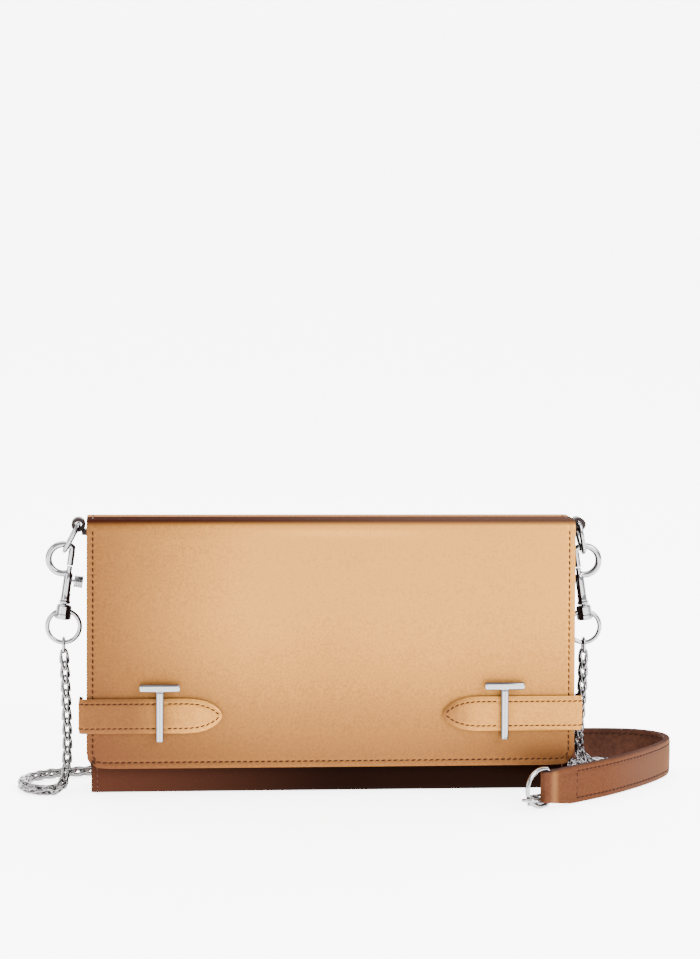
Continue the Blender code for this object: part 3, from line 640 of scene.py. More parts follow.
def hang_chain(word, route):
    """The whole chain: three short stretches at the top, then the rest."""
    points = smooth_route([Vector(p) * MM for p in route], LINK_PITCH)
    frames = frames_along(points, (0, 1, 0))
    cuts = [0, 3, 6, 9]
    pieces = []
    for number in range(3):
        first, last = cuts[number], cuts[number + 1]
        piece = chain_piece(f"chain_{word}_top_{number + 1}", frames, first, last)
        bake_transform(piece)
        pieces.append(piece)
    rest = chain_piece(f"woven_chain_{word}", frames, cuts[-1], len(points) - 1)
    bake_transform(rest)
    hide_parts(f"chain_{word}")
    path = points[cuts[-1]:]
    return rest, pieces, path


chains = {}
for word, route in (("left", LEFT_CHAIN), ("right", right_chain_route())):
    chains[word] = hang_chain(word, route)
    print(f"{word} chain: {length_of(chains[word][2]) * 1000:.0f} mm below its top stretch")

# %% [markdown]
# ## The body
#
# One piece of leather wraps the wallet: over the top at the back, down, round the base and up the front,
# where the flap covers it. The front leans back a little, and its base is a soft roll. The strip on top
# belongs to the fold. Below the flap the front is painted with shade: dark towards the base and nearly
# black towards the right.

# %% Outlines shared by the body and the flap
LEAN = Vector((6.9, 113.0)).normalized()
OUT = Vector((-LEAN.y, LEAN.x))
OUTWARDS = Vector((0, OUT.x, OUT.y))
FRONT_FOOT_Y = -15.2
BASE_ROLL = 7.0


def front_y(z):
    """Where the leaning front panel's surface stands at a height."""
    return FRONT_FOOT_Y + LEAN.x / LEAN.y * z


def front_point(x, z, out):
    """A place a distance out from the front panel's surface. It takes millimetres and gives metres."""
    return Vector((x, front_y(z) + OUT.x * out, z + OUT.y * out)) * MM


def flap_point(x, z, out):
    """The same, measured from the flap's inner face."""
    return front_point(x, z, 1.3 + out)


def arc(centre, radius, start, end, count):
    angles = [math.radians(start + (end - start) * i / count) for i in range(count + 1)]
    return [(centre[0] + radius * math.cos(t), centre[1] + radius * math.sin(t)) for t in angles]


def walk(outline):
    """An outline as a function of distance along it, in millimetres, and its whole length."""
    points = [Vector(p) for p in outline]
    along = distances(points)

    def at_distance(s):
        k, t = locate(along, min(max(s, 0.0), along[-1]))
        line = (points[k + 1] - points[k]).normalized()
        return points[k].lerp(points[k + 1], t), line

    return at_distance, along[-1]


def body_outline(inset):
    """Y and Z from the middle of the top, down the back, under the base and up the front."""
    slope = math.degrees(math.atan2(LEAN.x, LEAN.y))
    roll = BASE_ROLL - inset
    low = front_point(0, 0, -inset) / MM
    roll_z = inset + roll
    roll_y = front_y(roll_z) - OUT.x * BASE_ROLL
    line = [(2.2, 118 - inset)] + arc((11.6, 114.6), 3.4 - inset, 90, 0, 8)
    line += arc((11.0, 4.0), max(4.0 - inset, 0.8), 0, -90, 6)
    line += [(5.0, inset), (-2.0, inset)] + arc((roll_y, roll_z), roll, -90, -180 - slope, 12)
    top = front_point(0, 113.0, -inset) / MM
    line += [(low.y + (top.y - low.y) * t, low.z + (top.z - low.z) * t) for t in (0.3, 0.6)]
    return line + [(top.y, top.z)]


# %% Body leather
BODY_HALF = 103


def body_half_width(z):
    return BODY_HALF + 2 * min(max((z - 113.5) / 3.5, 0.0), 1.0)


def body_skin():
    follow, length = walk(body_outline(0))
    columns = [c / BODY_HALF for c in seam_columns(BODY_HALF, 9)]
    rows = steps(0, length, 2.2)

    def place(u, s):
        point, line = follow(s)
        half = body_half_width(point.y)
        inwards = Vector((-line.y, line.x)) if line.length else Vector((0, 0))
        from_edge = (1 - abs(u)) * half * MM
        press = dip(from_edge, SEAM * MM) / MM
        sag = 0.25 * math.sin(s * 0.09) * (1 - u * u) ** 2 if 30 < s < 120 else 0.0
        shift = -inwards * (press + max(sag, 0.0) * 0.4)
        return Vector((u * half, point.x + shift.x, point.y + shift.y)) * MM

    skin = lay_skin("body_leather", columns, rows, place)
    face_round(skin, Vector((0, 0, 60 * MM)))
    return thicken(skin, 1.2 * MM, 0.4 * MM, (BODY_BRONZE, DARK, RIM))


def lining_skin():
    """A cloth lining that meets the leather at the opening and stands off behind the boards elsewhere."""
    def inset_at(s, length):
        from_end = min(s, length - s)
        return 1.25 + 1.55 * min(max((from_end - 1.0) / 4.0, 0.0), 1.0)

    follow, length = walk(body_outline(1.25)[8:])
    rows = steps(0, length, 3.0)
    columns = steps(-101, 101, 12.0)

    def place(x, s):
        point, line = follow(s)
        inwards = Vector((line.y, -line.x))
        shift = inwards * (inset_at(s, length) - 1.25)
        return Vector((x, point.x + shift.x, point.y + shift.y)) * MM

    skin = lay_skin("body_lining_cloth", columns, rows, place)
    face_round(skin, Vector((0, 0, 60 * MM)))
    return thicken(skin, 0.4 * MM, 0, (CLOTH, CLOTH, CLOTH))


def body_bronze_painted_shade():
    """The body's foil: bronze on the back, an even brown on the front, and painted shade at the front's base,
    nearly black to the right.
    """
    g = Graph("body_bronze")
    x, y = g.axis("X"), g.axis("Y")
    front = 1.0 - y.smooth(-0.012, 0.006)
    right = x.smooth(-0.118, 0.01)
    bronze = g.mix(mottled(g, 0.1) + 0.3, FOIL_DARK, FOIL_LIGHT)
    # Painted shade: the front's lowest band, below the flap, is painted dark, nearly black towards the right.
    dark = g.mix(right, (0.032, 0.0105, 0.0058, 1), (0.0043, 0.0013, 0.0007, 1))
    low = 1.0 - g.axis("Z").smooth(0.014, 0.034)
    covered = g.mix(mottled(g, 0.1) + 0.5, (0.060, 0.021, 0.011, 1), (0.085, 0.031, 0.016, 1))
    return foil(g, g.mix(front, bronze, g.mix(low, covered, dark)), 0.45, 0.4 - front * 0.4)


BODY_BRONZE = body_bronze_painted_shade()
leather = body_skin()
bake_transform(leather)
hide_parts("outer_wrap", "spine_leather")
lining = lining_skin()
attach(lining, "body")
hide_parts("body_lining")
print("body leather:", len(leather.data.polygons), "faces")

# %% [markdown]
# ## The flap
#
# The flap is leather over a thin board, lined with cloth, with rounded lower corners. The leather is turned
# over the top strip in one piece. A seam runs down both sides and along the bottom.

# %% Flap leather
FLAP_LOW = 12.0
FLAP_CORNER = 6.8
FLAP_HALF = 105.0
FLAP_FACE = 2.9
FLAP_FOLD_Z = 112.0
FLAP_SEAM_TOP = 113.5


def rounded_inset(x, z):
    """Distance from the flap's outline, inwards, with its round lower corners."""
    dx, dz = FLAP_HALF - abs(x), z - FLAP_LOW
    if dx < FLAP_CORNER and dz < FLAP_CORNER:
        return FLAP_CORNER - math.hypot(FLAP_CORNER - dx, FLAP_CORNER - dz)
    return min(dx, dz)


def round_corner(x, z):
    """Moves a grid point near a lower corner so that the grid's edge follows the round corner."""
    dx, dz = FLAP_HALF - abs(x), z - FLAP_LOW
    reach = 16.0
    if dx >= reach or dz >= reach:
        return x, z
    a, b = 1 - dx / reach, 1 - dz / reach
    small = min(a, b)
    big = max(a, b)
    if big == 0:
        return x, z
    corner = FLAP_CORNER / reach
    limit = 1 - corner
    edge = 1.0
    if small > limit:
        edge = limit + corner * math.sqrt(max(0.0, 1 - ((small - limit) / corner) ** 2))
    squeeze = 1 + (min(edge, 1.0) - 1) * big ** 3
    if abs(a - b) < 1e-9:
        squeeze = 1 + (limit + corner * math.sqrt(0.5) - 1) * big ** 3
        return math.copysign(FLAP_HALF - (1 - a * squeeze) * reach, x), FLAP_LOW + (1 - b * squeeze) * reach
    if a > b:
        a *= squeeze
    else:
        b *= squeeze
    return math.copysign(FLAP_HALF - (1 - a) * reach, x), FLAP_LOW + (1 - b) * reach


def flap_outline():
    """Y and Z of the flap's outer face from the top strip's middle, over the front edge, and down."""
    line = [(2.4, 118.0)] + arc((-8.86, 114.4), 3.6, 90, 176.5, 9)
    bottom = flap_point(0, FLAP_LOW, FLAP_FACE) / MM
    return line + [(bottom.y, bottom.z)]


def flap_skin():
    follow, length = walk(flap_outline())
    over = length - (flap_point(0, FLAP_FOLD_Z, FLAP_FACE) - flap_point(0, FLAP_LOW, FLAP_FACE)).length / MM
    columns = seam_columns(FLAP_HALF, 6)
    heights = [FLAP_LOW + e for e in SEAM_ROWS] + steps(FLAP_LOW + SEAM_ROWS[-1], FLAP_FOLD_Z, 3.0)[1:]
    rows = steps(0, over, 1.1)[:-1] + [("z", z) for z in reversed(heights)]

    def place(x, row):
        if isinstance(row, tuple):
            x, z = round_corner(x, row[1])
            press = dip(rounded_inset(x, z) * MM, SEAM * MM) / MM
            puff = 0.18 * math.sin(x * 0.021 + 0.6) * math.sin(z * 0.03)
            puff += 0.12 * math.sin(x * 0.05 + z * 0.04)
            return flap_point(x, z, FLAP_FACE - press + puff * min(rounded_inset(x, z) / 12, 1.0))
        point, line = follow(row)
        press = dip((FLAP_HALF - abs(x)) * MM, SEAM * MM) / MM
        inwards = Vector((line.y, -line.x))
        shift = -inwards * press
        return Vector((x, point.x + shift.x, point.y + shift.y)) * MM

    skin = lay_skin("flap_leather_skin", columns, list(range(len(rows))), lambda x, n: place(x, rows[n]))
    face_towards(skin, (0, -1, 0.2))
    thicken(skin, 1.1 * MM, 0.4 * MM, (FLAP_BRONZE, DARK, RIM))
    for vertex in skin.data.vertices:
        x, z = vertex.co.x / MM, vertex.co.z / MM
        if z > 111:
            continue
        face = flap_point(x, z, 0)
        out = (vertex.co - face).dot(OUTWARDS) / MM
        near = 1 - min(max((rounded_inset(x, z) - 2.2) / 0.9, 0.0), 1.0)
        if out < 2.2 and near > 0:
            vertex.co -= OUTWARDS * (out - 0.55) * near * MM
    return skin


def flap_bronze():
    """The flap's foil, with painted light: brighter towards its top and right and darker at its lower right,
    painted shade on the top strip, and puckered at every stitch of the seam.
    """
    g = Graph("flap_bronze")
    x, z = g.axis("X"), g.axis("Z")
    # Painted light: the foil is painted brighter towards the top and right and darker at the lower right.
    from_left = x.smooth(-0.118, -0.02) * 0.8 + 0.2
    from_foot = z.smooth(0.0, 0.085) * 0.8 + 0.2
    low_right = x.smooth(0.03, 0.11) * (1.0 - z.smooth(0.012, 0.045))
    tone = from_left * from_foot * (1.0 - low_right * 0.45) * (mottled(g) + 1.0)
    colour = g.mix(tone, FOIL_DARK, FOIL_LIGHT)
    # Painted shade: the turned-over top strip is painted dark brown, darker towards the left.
    top = z.smooth(0.1150, 0.1176)
    strip = g.mix(x.smooth(-0.10, 0.08), (0.017, 0.003, 0.001, 1), (0.040, 0.0175, 0.011, 1))
    colour = g.mix(top, colour, strip)
    across = abs(x)
    side = 0.105 - across
    low = z - 0.012
    side_band = side.smooth(0.0006, 0.0024) * (1.0 - side.smooth(0.0028, 0.0048))
    low_band = low.smooth(0.0006, 0.0024) * (1.0 - low.smooth(0.0028, 0.0048))
    pucker = side_band * g.wave(z, 0.0026) + low_band * g.wave(x, 0.0026)
    return foil(g, colour, 0.38, 0.45 - top * 0.45, pucker * 1.6)


FLAP_BRONZE = flap_bronze()
flap = flap_skin()
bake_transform(flap)
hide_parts("flap_leather")
print("flap leather:", len(flap.data.polygons), "faces")


# %% Flap lining
def flap_lining():
    rows = steps(FLAP_LOW + 0.5, FLAP_SEAM_TOP, 4.0)
    columns = steps(-104.5, 104.5, 8.0)

    def place(x, z):
        x, z = round_corner(x, z)
        return flap_point(x, z, 0.5)

    skin = face_towards(lay_skin("flap_lining_cloth", columns, rows, place), (0, -1, 0))
    return thicken(skin, 0.5 * MM, 0, (CLOTH, CLOTH, CLOTH))


cloth = flap_lining()
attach(cloth, "flap")
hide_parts("flap_lining")
print("flap lining is in place")

# %% [markdown]
# ## Tab straps and T bars
#
# Each strap is two layers of leather over a soft filler, so it is crowned, and pressed flat where the bar
# crosses it. Its outer end turns back round the flap's side edge. The T bar stands on two posts that are
# riveted through the flap.

# %% Tab straps
TAB_TIP = 47.5
TAB_SIDE = 108.2
TAB_MID_Z = 34.6
TAB_HALF = 7.4
TAB_FACE, TAB_TURN, TAB_SEAM = 4.9, 2.4, 2.2
BAR_X = 74.0


def tab_half(x):
    """Half the strap's width at a distance x from the flap's middle."""
    curve = [(0.0, 1.0), (0.3, 0.955), (0.55, 0.83), (0.75, 0.63), (0.88, 0.43), (0.96, 0.24), (1.0, 0.07)]
    a = min(max((TAB_TIP + 15.0 - x) / 15.0, 0.0), 1.0)
    for (a0, h0), (a1, h1) in zip(curve, curve[1:]):
        if a <= a1:
            return TAB_HALF * (h0 + (h1 - h0) * (a - a0) / (a1 - a0))
    return TAB_HALF * curve[-1][1]


def tab_path(s):
    """Place and outward direction at a distance from the tip, round the flap's side edge."""
    flat = TAB_SIDE - TAB_TURN - TAB_TIP
    if s <= flat:
        return TAB_TIP + s, TAB_FACE, (0.0, 1.0)
    turn = TAB_TURN * math.pi / 2
    inner = TAB_FACE - TAB_TURN
    if s <= flat + turn:
        t = (s - flat) / TAB_TURN
        across = TAB_SIDE - TAB_TURN + TAB_TURN * math.sin(t)
        return across, inner + TAB_TURN * math.cos(t), (math.sin(t), math.cos(t))
    return TAB_SIDE, inner - (s - flat - turn), (1.0, 0.0)


def tab_surface(side, s, v, lift=0.0):
    """A place on the strap's outer face, and the direction out of it."""
    x, out, normal = tab_path(s)
    half = tab_half(x) if s < 40 else TAB_HALF
    from_edge = min((1 - abs(v)) * half, s + 0.2)
    crown = 0.42 * (1 - v ** 4) * min(from_edge / 2.5, 1.0)
    crown *= 1 - 0.9 * math.exp(-((x - BAR_X) / 3.4) ** 2)
    crown -= dip(from_edge * MM, TAB_SEAM * MM, 0.2 * MM) / MM
    crown = min(crown, 0.22 if abs(x - BAR_X) > 4 else 0.1) + lift
    place = flap_point(side * (x + normal[0] * crown), TAB_MID_Z + v * half, out + normal[1] * crown)
    return place, Vector((side * normal[0], OUT.x * normal[1], OUT.y * normal[1]))


def tab_strap(side, word):
    length = TAB_SIDE - TAB_TURN - TAB_TIP + TAB_TURN * math.pi / 2 + 8.4
    rows = [0, 0.12, 0.3, 0.6, 1.0, 1.5, 2.2, 3.0, 4.0, 5.2, 6.5, 8.0, 9.6, 11.4, 13.2, 15.0]
    rows += steps(16.2, length, 1.2)
    edge = [0.0, 0.05, 0.13, 0.24, 0.29, 0.34, 0.42, 0.56, 0.75, 1.0]
    columns = [-1 + e for e in edge] + [1 - e for e in reversed(edge[:-1])]
    skin = lay_skin(f"tab_strap_{word}_leather", columns, rows, lambda v, s: tab_surface(side, s, v)[0])
    face_towards(skin, (side * 0.2, -1, 0))
    return thicken(skin, 1.6 * MM, 0.5 * MM, (TAB_BRONZE, DARK, RIM))


def tab_bronze():
    """The straps' foil, with painted light: the left one lighter towards its inner end, the right one darker
    at its inner end and bright beyond.
    """
    g = Graph("tab_bronze")
    x = g.axis("X")
    # Painted light: each strap's brightness changes along its length.
    left = x.smooth(-0.088, -0.052) * 0.75 + 0.17
    right = 0.85 - (1.0 - x.smooth(0.046, 0.066)) * 0.62
    is_right = x.smooth(-0.01, 0.01)
    tone = (left * (1.0 - is_right) + right * is_right) * (mottled(g) + 1.0)
    return foil(g, g.mix(tone, FOIL_DARK, FOIL_LIGHT), 0.35)


TAB_BRONZE = tab_bronze()
for side, word in SIDES:
    tab = tab_strap(side, word)
    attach(tab, "flap")
    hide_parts(f"tab_strap_{word}")
    print(f"{word} tab strap: {len(tab.data.polygons)} faces")


# %% T bars
def bar_plate():
    """Plate with painted reflections: darker towards the long edges of the T, where its rounded sides turn
    away, and a dark line down the stem.
    """
    g = Graph("bar_plate")
    z = g.axis("Z")
    across = abs(g.axis("X"))
    from_stem = abs(across - BAR_X * MM)
    from_bar = abs(z - 0.0469)
    in_bar = z.smooth(0.0447, 0.0450)
    # Painted reflections: dark edges and a dark line down the stem.
    edge = from_stem.smooth(0.0007, 0.0014) * (1.0 - in_bar) + from_bar.smooth(0.0008, 0.0015) * in_bar
    line = (1.0 - from_stem.smooth(0.0001, 0.0004)) * (1.0 - in_bar)
    tone = g.mix(edge * 0.85 + line * 0.35, (0.27, 0.258, 0.268, 1), (0.035, 0.030, 0.034, 1))
    return g.set(Base_Color=tone, Metallic=1.0, Roughness=0.14)


BAR_PLATE = bar_plate()


def t_bar(side, word):
    """Two rounded bars joined, on two posts, all in the flap's plane."""
    tilt = Matrix.Rotation(math.atan2(LEAN.x, LEAN.y), 4, "X").inverted()
    base = Matrix.Translation(flap_point(side * BAR_X, 0, 5.2)) @ tilt
    bar = block(f"t_bar_{word}_polished", (-8.7, -2.2, 45.1), (8.7, 0, 48.4), HERE, BAR_PLATE)
    stem = block("stem", (-1.65, -2.2, 23.7), (1.65, 0, 46.5), HERE, BAR_PLATE)
    boolean(bar, [stem], "UNION")
    weld_and_face_out(bar, 1e-5)
    apply_modifier(bar, "BEVEL", width=0.9 * MM, segments=4, limit_method="ANGLE",
                   angle_limit=math.radians(40))
    for z in (46.75, 25.35):
        turn = Matrix.Translation((0, -0.6 * MM, z * MM)) @ Matrix.Rotation(-math.pi / 2, 4, "X")
        post = turned("post", [(0, 0), (1.1, 0), (1.1, 6.6), (0, 6.6)], turn, BAR_PLATE, 20)
        boolean(bar, [post], "UNION")
    bar.data.transform(base)
    smooth(bar, 30)
    return bar


for side, word in SIDES:
    bar = t_bar(side, word)
    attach(bar, "flap")
    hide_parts(f"t_bar_{word}")
    print(f"{word} T bar: {len(bar.data.polygons)} faces")

# %% [markdown]
# ## The seams
#
# The seams are sewn by machine with a waxed dark thread. Every stitch is a short bulge of thread that dives
# into the leather at both ends and leans a little. One stitch is modelled and copied along every seam.

# %% One stitch, copied along seams
STITCH_PITCH = 2.6


def stitch_model():
    bpy.ops.object.select_all(action="DESELECT")
    bpy.ops.mesh.primitive_uv_sphere_add(segments=8, ring_count=6, radius=1)
    obj = bpy.context.object
    turn = Matrix.Rotation(math.pi / 2, 4, "Y")
    obj.data.transform(Matrix.Diagonal((1.02 * MM, 0.34 * MM, 0.28 * MM, 1)) @ turn)
    return as_model(obj)


STITCH = stitch_model()


def sew(line, normals, pitch=STITCH_PITCH, lean=9.0, skip=0.5):
    """Matrices for the stitches along a line, evenly spaced, each one leaning a little."""
    along = distances(line)
    count = max(1, round(along[-1] / (pitch * MM)))
    found, k = [], 0
    for i in range(count):
        k, t = locate(along, along[-1] * (i + skip) / count, k)
        forward = (line[k + 1] - line[k]).normalized()
        up = normals[k].normalized()
        across = up.cross(forward).normalized()
        forward = across.cross(up)
        turn = Matrix((forward, across, up)).transposed().to_4x4()
        place = Matrix.Translation(line[k].lerp(line[k + 1], t))
        found.append(place @ turn @ Matrix.Rotation(math.radians(lean), 4, "Z"))
    return found


def seam_piece(name, matrices, body, material=THREAD):
    piece = copies(name, STITCH, matrices, material)
    if body:
        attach(piece, body)
    return piece


def flap_seam_line():
    """Down the left side, round the corners, along the bottom and up the right side, at the seam's inset."""
    half, low = FLAP_HALF - SEAM, FLAP_LOW + SEAM
    corner = FLAP_CORNER - SEAM
    line = [(-half, z) for z in reversed(steps(low + corner, FLAP_SEAM_TOP, 4.0))]
    line += arc((-half + corner, low + corner), corner, 180, 270, 8)[1:]
    line += [(x, low) for x in steps(-half + corner, half - corner, 4.0)[1:-1]]
    line += arc((half - corner, low + corner), corner, 270, 360, 8)
    return line + [(half, z) for z in steps(low + corner, FLAP_SEAM_TOP, 4.0)[1:]]


line = [flap_point(x, z, FLAP_FACE - 0.1) for x, z in flap_seam_line()]
flap_stitches = sew(line, [OUTWARDS] * len(line))
seam_piece("flap_stitching", flap_stitches, "flap")

for side, word in SIDES:
    line, normals = [], []
    for way in (1, -1):
        rows = steps(2.0, TAB_SIDE - TAB_TIP + TAB_TURN, 0.8)
        rows = rows[::-1] if way > 0 else rows
        for s in rows:
            x, out, normal = tab_path(s)
            half = tab_half(x) if s < 40 else TAB_HALF
            v = way * max(0.0, 1 - TAB_SEAM / max(half, 0.1))
            place, up = tab_surface(side, s, v)
            line.append(place)
            normals.append(up)
    matrices = sew(line, normals, 2.35)
    clear = [m for m in matrices if abs(abs(m.translation.x) - BAR_X * MM) > 2.2 * MM]
    seam_piece(f"tab_stitching_{word}", clear, "flap")

follow, length = walk(body_outline(0))
for side, word in SIDES:
    line, normals = [], []
    for s in steps(15.6, length - 1.5, 2.0):
        point, direction = follow(s)
        inwards = Vector((-direction.y, direction.x))
        x = side * (body_half_width(point.y) - SEAM)
        up = Vector((0, -inwards.x, -inwards.y))
        place = Vector((x, point.x, point.y))
        up = up if up.dot(place - Vector((x, 0, 60))) > 0 else -up
        line.append((place - up * 0.1) * MM)
        normals.append(up)
    seam_piece(f"body_stitching_{word}", sew(line, normals), "body", DARK_THREAD)
top_stitches = []
for side in (-1, 1):
    line = [Vector((side * (FLAP_HALF - SEAM), y, 117.9)) * MM for y in steps(-7.0, 11.0, 2.0)]
    top_stitches += sew(line, [Vector((0, 0, 1))] * len(line))
seam_piece("top_stitching", top_stitches, "top_strip", DARK_THREAD)
print("seams are sewn:", len(flap_stitches), "stitches round the flap")

# %% [markdown]
# ## Rings, hooks and swivels
#
# A leather loop at each end holds a D-ring, and a snap hook hangs in it. The hook's bow is bent wire brazed
# to a turned shank; a sprung gate slides in the shank and is drawn down by its knurled thumb knob. The eye
# below turns on a rivet and carries the round ring that the chain hangs from.

# %% Where the side hardware stands
RING_PIVOT = (108.6, 3.0, 114.7)
RING_DROP = 13.0
RING_TILT = {"left": 27.5, "right": 12.0}
HOOK_TILT = {"left": 8.0, "right": 9.0}
GATE_X = -3.2
O_RING_RADIUS, O_RING_WIRE = 7.0, 1.0
END_LINK_HALF, END_LINK_WIRE = 3.1, 0.7


def hook_frame(side, word):
    """Origin in the D-ring's lower wire, X outwards, Z up along the shank; in metres."""
    tilt = math.radians(RING_TILT[word])
    x = side * (RING_PIVOT[0] + RING_DROP * math.sin(tilt))
    z = RING_PIVOT[2] - RING_DROP * math.cos(tilt)
    lean = Matrix.Rotation(-math.radians(HOOK_TILT[word]), 4, "Y")
    return Matrix.Translation(Vector((x, RING_PIVOT[1], z)) * MM) @ Matrix.Diagonal((side, 1, 1, 1)) @ lean


def d_wire(name, bar, outwards, half, drop, radius, material):
    """A D of wire whose straight bar stands at bar and whose bow reaches outwards."""
    along = Vector((0, 0, 1)) if abs(outwards.z) < 0.1 else Vector((0, 1, 0))
    shoulder = drop * 0.3
    points = [bar + along * (half * s) for s in (-0.88, -0.4, 0, 0.4, 0.88)]
    points += [bar + along * (half * 0.975) + outwards * (half * 0.1)]
    for y, x in arc((0, 0), 1, 0, 180, 36):
        points.append(bar + along * (half * y) + outwards * (shoulder + (drop - shoulder) * x))
    points += [bar - along * (half * 0.975) + outwards * (half * 0.1)]
    return wire(name, points, radius, material, closed=True, sides=5)


def ring_loop(side, word):
    """The loop round the D-ring's bar, with its tail sewn to the end wall."""
    frame = Matrix.Translation(Vector((side * RING_PIVOT[0], *RING_PIVOT[1:])) * MM)
    frame = frame @ Matrix.Rotation(math.pi / 2, 4, "X")
    profile = [(1.5, -3.9), (2.7, -3.9), (3.0, -3.6), (3.0, 3.6), (2.7, 3.9), (1.5, 3.9), (1.5, -3.9)]
    loop = turned(f"ring_loop_{word}_leather", profile, frame, LOOP_LEATHER, 28, 50)
    flip = Matrix.Diagonal((side, 1, 1, 1))
    tail = block("tail", (103.3, -0.9, 100.0), (104.9, 6.9, 114.7), flip, LOOP_LEATHER, 0.5, 2)
    neck = block("neck", (103.6, -0.85, 110.3), (107.2, 6.85, 112.6), flip, LOOP_LEATHER, 0.4, 2)
    boolean(loop, [tail, neck], "UNION")
    smooth(loop, 45)
    return loop


LOOP_LEATHER = plain_leather("loop_leather", rgb(46, 36, 34), rgb(24, 18, 18), 0.42, 900.0, 0.4)
hooks = {}
for side, word in SIDES:
    loop = ring_loop(side, word)
    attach(loop, "body")
    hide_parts(f"ring_loop_{word}")
    tilt = math.radians(RING_TILT[word])
    outwards = Vector((side * math.sin(tilt), 0, -math.cos(tilt)))
    bar = Vector((side * RING_PIVOT[0], *RING_PIVOT[1:])) * MM
    ring = d_wire(f"d_ring_{word}_wire", bar, outwards, 5.5 * MM, RING_DROP * MM, 1.05 * MM, SILVER)
    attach(ring, f"ring_{word}")
    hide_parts(f"d_ring_{word}")
    hooks[word] = hook_frame(side, word)
    print(f"{word} ring: {len(ring.data.polygons)} faces")


# %% Snap hooks
def snap_hook(word, frame):
    """The bow of bent wire and the turned shank, with a bore for the gate and a slot for its knob."""
    arc_points = arc((0, 0), 6.3, -66.0, -300.5, 34)
    path = [(-x, -3.5 + z) for x, z in arc_points] + [(GATE_X, -0.4), (GATE_X, -2.5), (GATE_X, -5.8)]
    bow = wire(f"snap_hook_{word}_polished", [frame @ Vector((x * MM, 0, z * MM)) for x, z in path],
               1.45 * MM, SILVER, sides=6)
    shank_frame = frame @ Matrix.Translation((GATE_X * MM, 0, 0))
    profile = [(0, -22.5), (2.2, -22.5), (2.45, -22.2), (2.5, -21.7), (2.3, -21.3), (2.05, -20.9),
               (2.1, -20.5), (2.02, -20.2), (2.0, -18.0), (2.0, -12.0), (1.95, -10.4), (1.78, -9.5),
               (1.6, -9.2), (0, -9.2)]
    shank = turned("shank", profile, shank_frame, SILVER, 40)
    boolean(bow, [shank], "UNION")
    bore_frame = shank_frame @ Matrix.Rotation(0.06, 4, "Z")
    bore = turned("bore", [(0, -20.9), (1.45, -20.9), (1.45, -6.8), (0, -6.8)], bore_frame, STEEL, 24)
    hole_frame = shank_frame @ Matrix.Rotation(0.13, 4, "Z")
    hole = turned("hole", [(0, -24), (1.1, -24), (1.1, -20), (0, -20)], hole_frame, STEEL, 24)
    slot = block("slot", (-8.0, -1.0, -17.9), (GATE_X + 0.3, 1.0, -11.0), frame, STEEL)
    boolean(bow, [bore, hole, slot], "DIFFERENCE")
    paint(bow, SILVER)
    smooth(bow, 32)
    return bow


def gate(word, frame):
    """The sliding plunger and its knob, with turned grooves that a thumb can grip."""
    shank_frame = frame @ Matrix.Translation((GATE_X * MM, 0, 0))
    profile = [(0, -15.6), (1.0, -15.6), (1.15, -15.4), (1.15, -6.35), (1.0, -6.2), (0, -6.2)]
    plunger = turned(f"gate_{word}_polished", profile, shank_frame, SILVER, 24)
    knob_at = Matrix.Translation((GATE_X * MM, 0, -12.4 * MM))
    knob_frame = frame @ knob_at @ Matrix.Rotation(-math.pi / 2, 4, "Y")
    profile = [(0, 0), (0.75, 0), (0.75, 2.7), (2.45, 2.7), (2.68, 2.95)]
    for start in (3.3, 4.1, 4.9):
        profile += [(2.7, start), (2.7, start + 0.25), (2.42, start + 0.4), (2.42, start + 0.55),
                    (2.7, start + 0.7)]
    profile += [(2.7, 6.1), (2.45, 6.45), (1.9, 6.5), (0, 6.4)]
    knob = turned("knob", profile, knob_frame, SILVER, 28)
    boolean(plunger, [knob], "UNION")
    smooth(plunger, 32)
    return plunger


def swivel_eye(word, frame):
    """The rivet and the eye under the shank, with a tunnel for the round ring; also the ring's circle."""
    shank_frame = frame @ Matrix.Translation((GATE_X * MM, 0, 0))
    profile = [(0, -19.85), (1.2, -19.85), (1.25, -20.0), (1.25, -20.45), (0.8, -20.45), (0.8, -22.9),
               (2.5, -22.9), (2.9, -23.1), (3.3, -23.7), (3.3, -26.9), (3.6, -27.3), (3.62, -28.2),
               (3.6, -28.9), (3.3, -29.25), (0, -29.3)]
    eye = turned(f"swivel_{word}_polished", profile, shank_frame, SILVER, 40)
    hang = shank_frame @ Vector((0, 0, -25.6 * MM))
    centre = hang - Vector((0, 0, O_RING_RADIUS * MM))
    circle = [centre + Vector((math.cos(t), 0, math.sin(t))) * O_RING_RADIUS * MM
              for t in (math.tau * i / 56 for i in range(56))]
    tunnel = wire("tunnel", circle, 1.45 * MM, STEEL, closed=True, sides=6)
    boolean(eye, [tunnel], "DIFFERENCE")
    paint(eye, SILVER)
    smooth(eye, 32)
    return eye, circle, centre


def oval(centre, along, across, half_length, half_width, count=10):
    straight = half_length - half_width
    points = []
    for sign in (1, -1):
        for a, b in arc((0, 0), half_width, -90, 90, count):
            points.append(centre + along * (sign * (straight + a)) + across * (sign * b))
    return points


